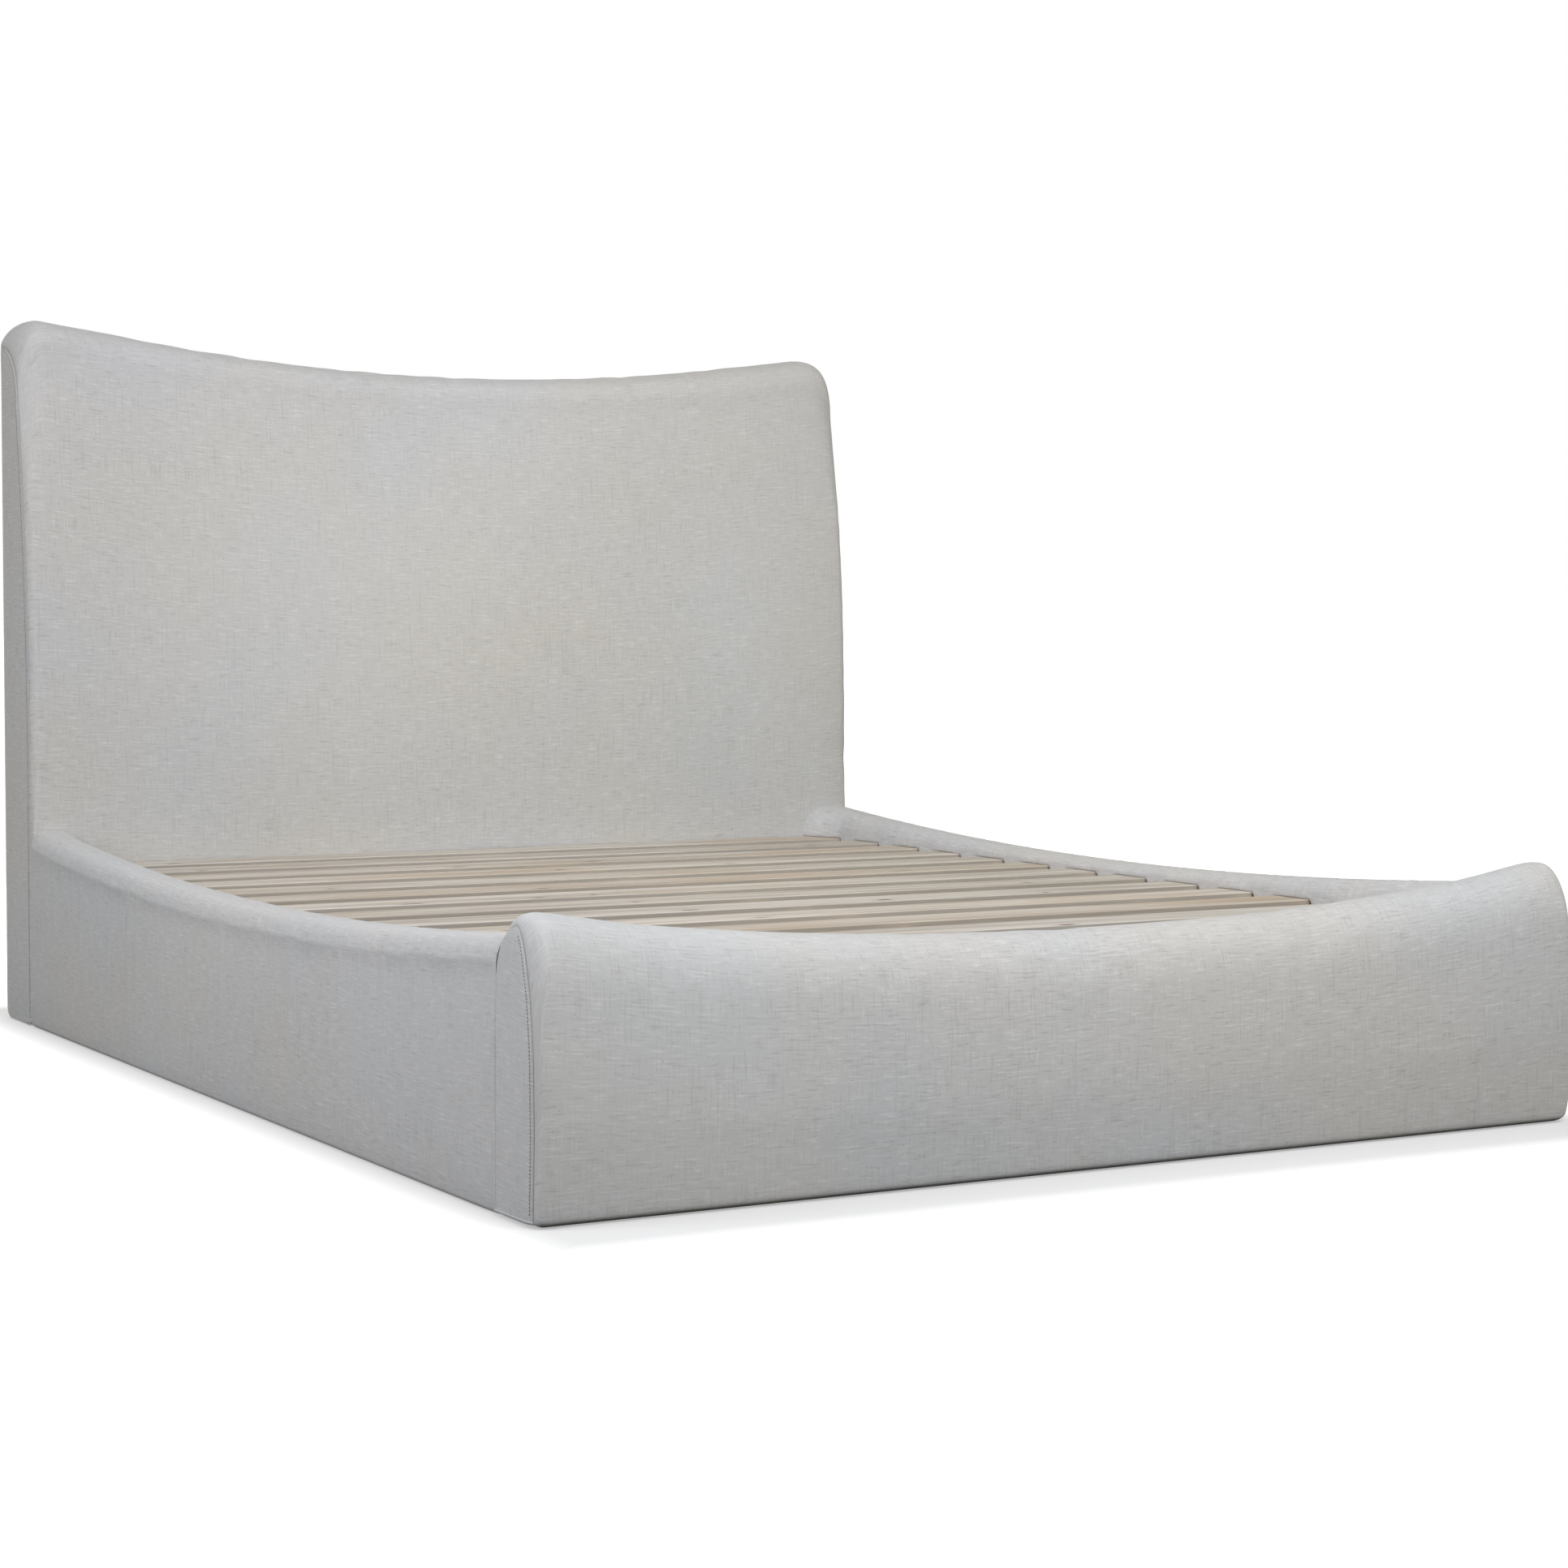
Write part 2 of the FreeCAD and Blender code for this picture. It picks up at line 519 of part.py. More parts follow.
def make_leveller(name, y):
    """Centre leg with its threaded insert, and the stud and pad that screw in and out of it."""
    low = DECK_BOTTOM - BEAM_HEIGHT
    insert_top = LEG_BOTTOM + INSERT_HEIGHT
    stud_top = insert_top + STUD_TRAVEL + STUD_SPARE
    foot = vec(0, y, LEG_BOTTOM)
    leg = box(-LEG_SIDE / 2, LEG_SIDE / 2, y - LEG_SIDE / 2, y + LEG_SIDE / 2, LEG_BOTTOM, low)
    leg = leg.cut(cylinder(INSERT_RADIUS, foot, vec(0, y, insert_top)))
    leg = leg.cut(cylinder(STUD_RADIUS + 1, foot, vec(0, y, stud_top + STUD_ROOM)))
    export(name + "_leg", leg)
    insert = cylinder(INSERT_RADIUS, foot, vec(0, y, insert_top))
    bore = cylinder(STUD_RADIUS + RUN_CLEAR, vec(0, y, LEG_BOTTOM - 1), vec(0, y, insert_top + 1))
    export(name + "_leg_insert", insert.cut(bore))
    stud = cylinder(STUD_RADIUS, vec(0, y, STUD_LOW), vec(0, y, stud_top))
    collar = hexagon_head(BOLT_HEAD_AF, BOLT_HEAD_HEIGHT, vec(0, y, PAD_HEIGHT + COLLAR_GAP), vec(0, 0, 1))
    export(name + "_leveller_stud", stud.fuse(collar).removeSplitter())
    pad = Part.makeCone(PAD_RADIUS, PAD_RADIUS * PAD_TAPER, PAD_HEIGHT, vec(0, y, 0))
    socket = cylinder(STUD_RADIUS + RUN_CLEAR, vec(0, y, STUD_LOW - RUN_CLEAR), vec(0, y, PAD_HEIGHT + 1))
    export(name + "_leveller_pad", pad.cut(socket))


def make_centre_support():
    half = BEAM_WIDTH / 2
    low = DECK_BOTTOM - BEAM_HEIGHT
    end_gap = HANGER_SHEET + 1
    export("centre_beam", box(-half, half, FOOT_REAR + end_gap, HEAD_FRONT - end_gap, low, DECK_BOTTOM))
    export("centre_beam_foot_hanger", hanger(FOOT_REAR, 1))
    export("centre_beam_head_hanger", hanger(HEAD_FRONT, -1))
    for name, y in leg_places():
        make_leveller(name, y)


# ---------------------------------------------------------------- corner brackets and glides
def bracket_bolt_lines():
    """Start (under the head) and end of each of the 16 bracket bolts."""
    lines = []
    into_rail = BOARD_OUTER - 2
    for side in (-1, 1):
        for wall, inward, reach in ((HEAD_FRONT, -1, HEAD_BOLT_REACH), (FOOT_REAR, 1, FOOT_BOLT_REACH)):
            for z in BRACKET_BOLT_HEIGHTS:
                under_head = wall + inward * BRACKET_THICK
                x = side * BRACKET_BOLT_X
                lines.append((vec(x, under_head, z), vec(x, wall - inward * reach, z)))
                y = wall + inward * BRACKET_BOLT_INSET
                lines.append((vec(side * (RAIL_STEP - BRACKET_THICK), y, z), vec(side * into_rail, y, z)))
    return lines


def make_brackets(holes):
    for side, side_name in ((-1, "left"), (1, "right")):
        for wall, inward, end_name in ((HEAD_FRONT, -1, "head"), (FOOT_REAR, 1, "foot")):
            x_wall = side * RAIL_STEP
            x0, x1 = sorted((x_wall, x_wall - side * BRACKET_LEG))
            t0, t1 = sorted((x_wall, x_wall - side * BRACKET_THICK))
            y0, y1 = sorted((wall, wall + inward * BRACKET_LEG))
            s0, s1 = sorted((wall, wall + inward * BRACKET_THICK))
            on_rail = box(t0, t1, y0, y1, BRACKET_LOW, BRACKET_HIGH)
            on_board = box(x0, x1, s0, s1, BRACKET_LOW, BRACKET_HIGH)
            bracket = on_rail.fuse(on_board).removeSplitter().cut(holes)
            export("rail_bracket_%s_%s" % (end_name, side_name), bracket)


def make_bracket_bolts():
    bolts = []
    for start, end in bracket_bolt_lines():
        direction = end.sub(start)
        direction.normalize()
        back = direction * -BOLT_HEAD_HEIGHT
        head = hexagon_head(BOLT_HEAD_AF, BOLT_HEAD_HEIGHT, start.add(back), direction)
        bolts.append(head.fuse(cylinder(BOLT_RADIUS, start, end.sub(direction))).removeSplitter())
    export("bracket_bolts", Part.makeCompound(bolts))


def make_glides():
    glides = []
    post_x = (POST_INNER + POST_OUTER) / 2
    for y in (HEAD_FRONT + HEAD_GLIDE_SETBACK, FOOT_FRONT + FOOT_GLIDE_SETBACK):
        for x in (-post_x, 0.0, post_x):
            glides.append(Part.makeCone(GLIDE_RADIUS, GLIDE_RADIUS - GLIDE_TAPER, FRAME_BOTTOM, vec(x, y, 0)))
    export("floor_glides", Part.makeCompound(glides))


def main():
    os.makedirs("parts", exist_ok=True)
    holes = bolt_holes()
    screw_holes = Part.makeCompound([screw(x, y, RUN_CLEAR) for x, y in screw_places()])
    make_headboard(holes)
    make_footboard(holes)
    make_side_rails(holes, screw_holes)
    make_slats()
    make_centre_support()
    make_brackets(holes)
    make_bracket_bolts()
    make_glides()


main()
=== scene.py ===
import json
import math
import random

import bmesh
import bpy
import numpy as np
from mathutils import Matrix, Vector, noise


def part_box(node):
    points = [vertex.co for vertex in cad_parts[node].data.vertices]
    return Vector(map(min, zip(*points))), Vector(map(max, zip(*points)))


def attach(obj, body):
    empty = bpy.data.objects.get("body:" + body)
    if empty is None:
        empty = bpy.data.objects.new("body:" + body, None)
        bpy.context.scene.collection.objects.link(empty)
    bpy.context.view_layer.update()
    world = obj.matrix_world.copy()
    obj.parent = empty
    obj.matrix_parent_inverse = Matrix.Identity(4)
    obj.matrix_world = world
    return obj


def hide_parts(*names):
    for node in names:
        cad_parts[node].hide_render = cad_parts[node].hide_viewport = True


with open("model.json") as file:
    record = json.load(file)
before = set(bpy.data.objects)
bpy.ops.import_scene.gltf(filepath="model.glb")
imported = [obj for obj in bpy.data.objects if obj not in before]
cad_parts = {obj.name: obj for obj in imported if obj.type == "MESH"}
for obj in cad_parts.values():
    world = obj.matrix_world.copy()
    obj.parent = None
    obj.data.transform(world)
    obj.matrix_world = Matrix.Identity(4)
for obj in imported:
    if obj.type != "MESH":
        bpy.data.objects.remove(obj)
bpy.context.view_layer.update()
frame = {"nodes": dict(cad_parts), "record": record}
scene = bpy.context.scene

# ---------------------------------------------------------------- positions, in metres
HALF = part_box("headboard_front_cover")[1].x + 0.002      # outer face of the side facings
HEAD_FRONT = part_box("headboard_front_cover")[0].y
HEAD_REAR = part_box("headboard_back_cover")[1].y
FOOT_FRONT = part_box("footboard_cover")[0].y
FOOT_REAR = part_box("footboard_cover")[1].y
RAIL_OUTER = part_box("right_rail_cover")[1].x
DECK_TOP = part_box("slat_01")[1].z
SLATS = ["slat_%02d" % number for number in range(1, 14)]
SLAT_SPANS = {name: (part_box(name)[0].y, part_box(name)[1].y) for name in SLATS}
FLOOR_GAP = 0.0020            # hems hang this far above the floor
CLOTH_UV = "cloth"            # UV map in metres along the threads


def add_object(name, data):
    made = bpy.data.objects.new(name, data)
    scene.collection.objects.link(made)
    return made


def add_mesh(name, points, faces, material):
    mesh = bpy.data.meshes.new(name)
    mesh.from_pydata(points, [], faces)
    mesh.materials.append(material)
    mesh.update()
    return add_object(name, mesh)


# ---------------------------------------------------------------- camera, lights, floor
LIGHTS = (
    # name, place, aim, size (None for a distant light), spread or angle in degrees (0: full), power, colour
    ("foot_strip", (0.0, -2.7, 1.7), (0, -1.1, 0.25), (2.6, 0.6), 0, 48.1, (0.975, 0.985, 1.040)),
    ("head_strip", (0.0, -0.3, 2.6), (0, 1.0, 0.8), (2.6, 1.0), 0, 18.9, (0.984, 0.952, 1.063)),
    ("left_strip", (-3.2, -0.6, 1.6), (-0.9, -0.2, 0.2), (0.8, 2.6), 0, 42.0, (0.942, 0.973, 1.085)),
    ("head_low", (0.25, -2.0, 1.35), (0.25, 1.0, 0.75), (1.2, 0.5), 50, 1.5, (1.067, 1.067, 0.867)),
    ("back", (0.2, 3.8, 0.95), (0, 1.2, 0.6), (3.0, 1.2), 0, 75.0, (1.0, 1.0, 1.0)),
    ("left", (-1.0, -0.3, 0.5), (0, 0, 0), None, 60, 0.525, (1.006, 0.971, 1.023)),
    ("right", (1.0, -0.4, 0.5), (0, 0, 0), None, 60, 0.05, (1.06, 1.06, 0.87)),
)
AMBIENT = (0.307, 0.306, 0.252, 1)
CAMERA_PLACE = (-2.6145, -4.7907, 0.8068)
CAMERA_TURN = (("X", 86.671), ("Z", 0.260))    # degrees: tilt, then roll, after the heading
CAMERA_HEADING = -30.038
CAMERA_LENS = 72.246
FLOOR_SIZE = 60.0
FLOOR_SEEN = (0.40, 0.40, 0.40)
# the floor's glow is lower close to the bed than away from it: painted shade round the bed, on top of the lamps' real
# shadow
FLOOR_GLOW_SIDE = (0.40, 1.0)    # beside the bed: close to it and away from it
FLOOR_GLOW_FRONT = (0.20, 1.0)   # the same before and behind it
FLOOR_BOUNCE = (0.24, 0.23, 0.21)
FLOOR_BOUNCE_DROP = 0.002
FLOOR_FADE_SIDE = (-0.02, 0.14)  # where the glow starts and ends, outwards from the bed's sides
FLOOR_FADE_FRONT = (0.0, 0.28)
FLOOR_FADE_BOUNCE = (-0.05, 0.6)
# colour of the bounce floor close to the bed: painted shade, which darkens the light thrown back at the bed's lower
# parts
FLOOR_NEAR_PAINTED_SHADE = (0.02, 0.02, 0.02)


def make_camera():
    data = bpy.data.cameras.new("camera")
    camera = add_object("camera", data)
    data.sensor_width = 36.0
    data.lens = CAMERA_LENS
    turn = Matrix.Rotation(math.radians(CAMERA_HEADING), 4, "Z")
    for axis, degrees in CAMERA_TURN:
        turn = turn @ Matrix.Rotation(math.radians(degrees), 4, axis)
    camera.matrix_world = Matrix.Translation(CAMERA_PLACE) @ turn
    scene.camera = camera


def make_light(name, place, aim, size, spread, power, colour):
    """A softbox, or a very soft distant light where it has no size."""
    data = bpy.data.lights.new(name, "AREA" if size else "SUN")
    if size:
        data.shape = "RECTANGLE"
        data.size, data.size_y = size
        data.spread = math.radians(spread or 180)
    else:
        data.angle = math.radians(spread)
    data.energy = power
    data.color = colour
    light = add_object(name, data)
    light.location = place
    light.rotation_euler = (Vector(place) - Vector(aim)).to_track_quat("Z", "Y").to_euler()
    light.visible_camera = False


def make_world():
    """White behind the bed for the camera, and a dim even light from all round for everything else."""
    world = bpy.data.worlds.new("world")
    scene.world = world
    world.use_nodes = True
    world.node_tree.nodes.clear()
    n = Nodes(world.node_tree)
    seen, ambient = [n.new("ShaderNodeBackground", {0: colour}).outputs[0] for colour in ((1, 1, 1, 1), AMBIENT)]
    is_camera = n.new("ShaderNodeLightPath").outputs["Is Camera Ray"]
    mix = n.new("ShaderNodeMixShader", {0: is_camera, 1: ambient, 2: seen})
    n.new("ShaderNodeOutputWorld", {0: mix.outputs[0]})


def make_floor():
    """White floor for the camera, glowing less close to the bed as painted shade round it, and a greyer one under it,
    painted nearly black close to the bed as painted shade, that throws light back at the bed.
    """
    size = FLOOR_SIZE
    for name, seen in (("floor", True), ("floor_bounce", False)):
        z = 0.0 if seen else -FLOOR_BOUNCE_DROP
        corners = [(-size, -size, z), (size, -size, z), (size, size, z), (-size, size, z)]
        material, n = new_material(name)
        n.surface(Roughness=0.9, Specular_IOR_Level=0.0)
        place = n.new("ShaderNodeSeparateXYZ", {0: n.object_position()})
        beside = n.math("SUBTRACT", n.math("ABSOLUTE", place.outputs["X"]), HALF)
        beyond = n.math("SUBTRACT", n.math("ABSOLUTE", place.outputs["Y"]), HEAD_REAR)
        if seen:
            # painted shade: the glow drops close to the bed's sides, front and rear
            glow_with_painted_shade = n.math("MAXIMUM", n.remap(beside, *FLOOR_FADE_SIDE, *FLOOR_GLOW_SIDE),
                          n.remap(beyond, *FLOOR_FADE_FRONT, *FLOOR_GLOW_FRONT))
            n.surface(Base_Color=FLOOR_SEEN, Emission_Strength=glow_with_painted_shade, Emission_Color=(1, 1, 1))
        else:
            # painted shade: the bounce floor goes from nearly black at the bed to grey away from it
            away = n.remap(n.math("MAXIMUM", beside, beyond), *FLOOR_FADE_BOUNCE)
            n.surface(Base_Color=n.mix(away, FLOOR_NEAR_PAINTED_SHADE, FLOOR_BOUNCE))
        floor = add_mesh(name, corners, [(0, 1, 2, 3)], material)
        floor.visible_camera = seen
        floor.visible_diffuse = floor.visible_glossy = floor.visible_shadow = not seen


# ---------------------------------------------------------------- material helpers
class Nodes:
    """Small helper to write shader networks as nested calls."""

    def __init__(self, tree):
        self.tree = tree

    def new(self, kind, inputs=(), **settings):
        """A node with its settings, and values or links put into its inputs."""
        node = self.tree.nodes.new(kind)
        for key, value in settings.items():
            setattr(node, key, value)
        return self.fill(node, dict(inputs))

    def fill(self, node, inputs):
        for key, value in inputs.items():
            socket = node.inputs[key]
            if isinstance(value, bpy.types.NodeSocket):
                self.tree.links.new(value, socket)
            elif socket.type == "RGBA" and len(value) == 3:
                socket.default_value = (*value, 1)
            else:
                socket.default_value = value
        return node

    def surface(self, **inputs):
        """Values or links for the Principled shader, by its inputs' names."""
        named = {key.replace("_", " "): value for key, value in inputs.items()}
        self.fill(self.tree.nodes["Principled BSDF"], named)

    def math(self, operation, a, b=0.0):
        return self.new("ShaderNodeMath", {0: a, 1: b}, operation=operation).outputs[0]

    def scaled(self, vector, scale, shift=(0, 0, 0)):
        return self.new("ShaderNodeMapping", {"Vector": vector, "Scale": scale, "Location": shift}).outputs[0]

    def noise(self, vector, scale=1.0, detail=2.0, rough=0.5, distortion=0.0):
        inputs = {"Vector": vector, "Scale": scale, "Detail": detail, "Roughness": rough, "Distortion": distortion}
        return self.new("ShaderNodeTexNoise", inputs).outputs["Fac"]

    def wave(self, vector, direction, scale, distortion=0.0, detail=0.0, detail_scale=1.0):
        inputs = {"Vector": vector, "Scale": scale, "Distortion": distortion, "Detail": detail,
                  "Detail Scale": detail_scale}
        return self.new("ShaderNodeTexWave", inputs, bands_direction=direction, wave_profile="SIN").outputs["Fac"]

    def remap(self, value, low, high, to_low=0.0, to_high=1.0):
        inputs = {"Value": value, "From Min": low, "From Max": high, "To Min": to_low, "To Max": to_high}
        node = self.new("ShaderNodeMapRange", inputs, clamp=True, interpolation_type="SMOOTHSTEP")
        return node.outputs["Result"]

    def mix(self, factor, a, b):
        return self.new("ShaderNodeMix", {0: factor, 6: a, 7: b}, data_type="RGBA").outputs[2]

    def tint(self, colour, mask, amount, target):
        """The colour moved towards the target by amount where mask is 1."""
        return self.mix(self.math("MULTIPLY", mask, amount), colour, target)

    def bump(self, height, strength, distance):
        inputs = {"Height": height, "Strength": strength, "Distance": distance}
        return self.new("ShaderNodeBump", inputs).outputs["Normal"]

    def object_position(self):
        return self.new("ShaderNodeTexCoord").outputs["Object"]

    def cloth_position(self):
        return self.new("ShaderNodeUVMap", uv_map=CLOTH_UV).outputs["UV"]


def new_material(name):
    material = bpy.data.materials.new(name)
    material.use_nodes = True
    return material, Nodes(material.node_tree)


# ---------------------------------------------------------------- fabric
LINEN = (0.475, 0.475, 0.468)
LINEN_LIGHT = (0.64, 0.64, 0.635)
LINEN_DARK = (0.29, 0.285, 0.27)
LINEN_WARM = (0.485, 0.465, 0.435)
LINEN_COOL = (0.455, 0.467, 0.487)
FLECK_DARK = (0.17, 0.15, 0.13)
FLECK_PALE = (0.22, 0.19, 0.16)
THREADS_SCALE = 290.0         # wave scale that gives the plain weave its thread pitch


def linen_material():
    """Pale grey linen: a fine plain weave with slubs both ways, dark flecks and a slow drift of tone."""
    material, n = new_material("linen")
    uv = n.cloth_position()

    def cloth_noise(along_u, along_v, shift, detail, rough=0.5):
        return n.noise(n.scaled(uv, (along_u, along_v, 1), (*shift, 0)), detail=detail, rough=rough)

    along_u = cloth_noise(34, 330, (0, 0), 2.5, 0.55)
    long_u = cloth_noise(10, 230, (3.1, 7.7), 2.0)
    along_v = cloth_noise(330, 26, (1.7, 5.3), 2.5, 0.55)
    long_v = cloth_noise(230, 9, (8.3, 2.9), 2.0)
    patch = cloth_noise(16, 24, (4.4, 1.2), 2.0)
    fleck_u = cloth_noise(120, 380, (2.2, 9.4), 1.0)
    fleck_v = cloth_noise(420, 110, (6.1, 3.3), 1.0)
    tone = n.noise(n.object_position(), scale=2.3, detail=2.0, rough=0.45)
    drift = n.noise(n.scaled(n.object_position(), (1.3, 1.3, 1.3), (5.0, 2.0, 9.0)), detail=1.0)
    colour = n.mix(n.remap(tone, 0.35, 0.65), LINEN_COOL, LINEN_WARM)
    colour = n.mix(0.45, colour, LINEN)
    here = n.remap(patch, 0.36, 0.60, 0.30, 1.0)
    there = n.remap(patch, 0.62, 0.40, 0.30, 1.0)
    light_u = n.math("MULTIPLY", n.remap(along_u, 0.54, 0.68), here)
    light_v = n.math("MULTIPLY", n.remap(along_v, 0.56, 0.70), there)
    dark_u = n.math("MULTIPLY", n.remap(along_u, 0.46, 0.32), there)
    dark_v = n.math("MULTIPLY", n.remap(along_v, 0.44, 0.30), here)
    for mask, amount, target in (
            (light_u, 0.50, LINEN_LIGHT), (light_v, 0.30, LINEN_LIGHT),
            (dark_u, 0.46, LINEN_DARK), (dark_v, 0.32, LINEN_DARK),
            (n.remap(long_u, 0.58, 0.70), 0.26, LINEN_LIGHT), (n.remap(long_v, 0.59, 0.70), 0.22, LINEN_DARK),
            (n.remap(fleck_u, 0.69, 0.76), 0.42, FLECK_DARK), (n.remap(fleck_v, 0.70, 0.77), 0.34, FLECK_PALE)):
        colour = n.tint(colour, mask, amount, target)
    weft = n.wave(uv, "Y", THREADS_SCALE, distortion=0.6, detail=1.0, detail_scale=4.0)
    warp = n.wave(uv, "X", THREADS_SCALE, distortion=0.6, detail=1.0, detail_scale=4.0)
    threads = n.math("MULTIPLY", weft, warp)
    colour = n.tint(colour, threads, 0.10, LINEN_LIGHT)
    colour = n.mix(n.remap(drift, 0.35, 0.65, 0.0, 0.14), colour, LINEN_LIGHT)
    height = n.math("ADD", n.math("MULTIPLY", along_u, 0.55), n.math("MULTIPLY", along_v, 0.45))
    height = n.math("ADD", height, n.math("MULTIPLY", threads, 0.35))
    n.surface(Base_Color=colour, Normal=n.bump(height, 0.45, 0.0007),
              Roughness=n.remap(along_u, 0.3, 0.7, 0.96, 0.86), Specular_IOR_Level=0.25,
              Sheen_Weight=0.18, Sheen_Roughness=0.5)
    return material


def thread_material():
    """Sewing thread, a shade darker than the cloth."""
    material, n = new_material("sewing_thread")
    twist = n.wave(n.object_position(), "DIAGONAL", 900.0, distortion=1.0)
    tone = n.noise(n.object_position(), scale=60.0, detail=2.0)
    colour = n.tint((0.26, 0.26, 0.26), twist, 0.5, (0.38, 0.38, 0.37))
    n.surface(Base_Color=n.tint(colour, tone, 0.3, (0.15, 0.14, 0.13)),
              Normal=n.bump(twist, 0.4, 0.0003), Roughness=0.8)
    return material


# ---------------------------------------------------------------- wood, metal, plastic
def shade(colour, factor):
    return [min(1.0, part * factor) for part in colour]


def wood_material(name, light, dark, seed, grain_axis="X", knots=(), side_grain_and_painted_shade=1.0):
    """Planed softwood: streaky grain along one axis, growth bands, pores, and dark knots at given places.

    Edge faces get the given factor times the dark colour: partly the sawn side grain's own colour, partly painted
    shade in the gaps between slats."""
    material, n = new_material(name)
    place = n.object_position()
    axis = "XYZ".index(grain_axis)
    shift = (seed * 1.37, seed * 2.11, seed * 0.73)

    def grain(across, along, **settings):
        stretch = [across] * 3
        stretch[axis] = along
        return n.noise(n.scaled(place, stretch, shift), **settings)

    bands = grain(34.0, 1.6, detail=4.0, rough=0.55, distortion=0.7)
    pores = grain(520.0, 9.0, detail=2.0, rough=0.6)
    stain = grain(5.0, 2.0, detail=2.0)
    colour = n.mix(n.remap(bands, 0.42, 0.62), light, dark)
    warm = [c * f for c, f in zip(dark, (1.10, 0.98, 0.84))]
    colour = n.mix(n.remap(stain, 0.48, 0.72, 0.0, 0.55), colour, warm)
    colour = n.mix(n.remap(pores, 0.60, 0.78, 0.0, 0.45), colour, shade(dark, 0.62))
    colour = n.mix(n.remap(pores, 0.42, 0.25, 0.0, 0.25), colour, shade(light, 1.12))
    height = n.math("ADD", n.math("MULTIPLY", bands, 0.4), n.math("MULTIPLY", pores, 0.6))
    for x, y, length, width, heart in knots:
        offset = n.new("ShaderNodeVectorMath", {0: place, 1: (x, y, DECK_TOP)}, operation="SUBTRACT")
        ripple = n.math("MULTIPLY", n.math("SUBTRACT", bands, 0.5), 0.8)
        ellipse = n.scaled(offset.outputs[0], (1 / length, 1 / width, 1 / 0.05))
        size = n.new("ShaderNodeVectorMath", {0: ellipse}, operation="LENGTH")
        reach = n.math("ADD", size.outputs["Value"], ripple)
        colour = n.mix(n.remap(reach, 2.6, 1.0, 0.0, 0.5), colour, shade(dark, 0.72))
        colour = n.mix(n.remap(reach, 1.1, 0.75), colour, heart)
    # painted shade: upright slat faces are darkened where shade falls in the gaps between slats, on top of their
    # side-grain colour
    if side_grain_and_painted_shade < 1.0:
        facing = n.new("ShaderNodeSeparateXYZ", {0: n.new("ShaderNodeNewGeometry").outputs["Normal"]})
        side_face_mask = n.remap(facing.outputs["Z"], 0.75, 0.30)
        colour = n.mix(side_face_mask, colour, shade(dark, side_grain_and_painted_shade))
        colour = n.tint(colour, n.math("MULTIPLY", side_face_mask, pores), 0.6, light)
    n.surface(Base_Color=colour, Normal=n.bump(height, 0.35, 0.0008),
              Roughness=n.remap(bands, 0.3, 0.7, 0.62, 0.78), Specular_IOR_Level=0.3)
    return material


def plywood_material():
    material, n = new_material("plywood")
    place = n.object_position()
    plies = n.wave(place, "Y", 105.0, distortion=1.5, detail=1.0)
    grain = n.noise(n.scaled(place, (2.5, 60, 40)), detail=4.0, distortion=0.8)
    colour = n.mix(n.remap(grain, 0.35, 0.65), (0.56, 0.42, 0.27), (0.40, 0.28, 0.17))
    colour = n.tint(colour, plies, 0.25, (0.30, 0.20, 0.12))
    n.surface(Base_Color=colour, Normal=n.bump(grain, 0.3, 0.0006), Roughness=0.75)
    return material


def hard_material(name, colours, wear, rough, bump, metallic=0.0):
    """Metal or plastic: wear blends two colours, a fine grain gives the bump, and either sets the gloss.

    wear and bump start with a noise's (scale per axis, detail, roughness). A metal's gloss follows its grain."""
    material, n = new_material(name)
    place = n.object_position()
    (scale, detail, grit), low, high = wear
    worn = n.noise(n.scaled(place, scale), detail=detail, rough=grit)
    (scale, detail, grit), strength, depth = bump
    grain = n.noise(n.scaled(place, scale), detail=detail, rough=grit)
    n.surface(Base_Color=n.mix(n.remap(worn, low, high), *colours), Normal=n.bump(grain, strength, depth),
              Roughness=n.remap(grain if metallic else worn, 0.3, 0.7, *rough), Metallic=metallic)
    return material


def zinc_material():
    """Bright zinc plating: fine turned lines and a cloudy, slightly yellow film."""
    return hard_material("zinc_plated_steel", ((0.62, 0.62, 0.60), (0.52, 0.51, 0.46)),
                         (((90, 90, 90), 3.0, 0.5), 0.35, 0.7), (0.28, 0.42),
                         (((300, 300, 5000), 2.0, 0.5), 0.2, 0.0002), metallic=1.0)


def powder_coat_material():
    return hard_material("black_powder_coat", ((0.028, 0.028, 0.030), (0.09, 0.085, 0.08)),
                         (((25, 25, 25), 4.0, 0.7), 0.62, 0.8), (0.42, 0.58),
                         (((700, 700, 700), 2.0, 0.5), 0.25, 0.0003))


def nylon_material():
    return hard_material("black_nylon", ((0.035, 0.035, 0.036), (0.11, 0.11, 0.11)),
                         (((90, 90, 900), 3.0, 0.7), 0.6, 0.8), (0.5, 0.68),
                         (((1600, 1600, 1600), 2.0, 0.5), 0.25, 0.0002))


# ---------------------------------------------------------------- shape helpers
def smooth(value, low, high):
    share = min(1.0, max(0.0, (value - low) / (high - low)))
    return share * share * (3 - 2 * share)


def resample(points, count):
    """The same open line with count points, evenly spaced along it."""
    line = np.asarray(points, float)
    steps = np.r_[0, np.cumsum(np.linalg.norm(np.diff(line, axis=0), axis=1))]
    wanted = np.linspace(0, steps[-1], count)
    return np.stack([np.interp(wanted, steps, line[:, k]) for k in range(line.shape[1])], axis=1)


def super_quarter(width, height, power, count=64):
    """Quarter of a superellipse, from (0, 0) rising to (width, height)."""
    points = []
    for i in range(count + 1):
        angle = math.pi / 2 * i / count
        across = width * (1 - math.cos(angle) ** (2 / power))
        points.append((across, height * math.sin(angle) ** (2 / power)))
    return np.array(points)


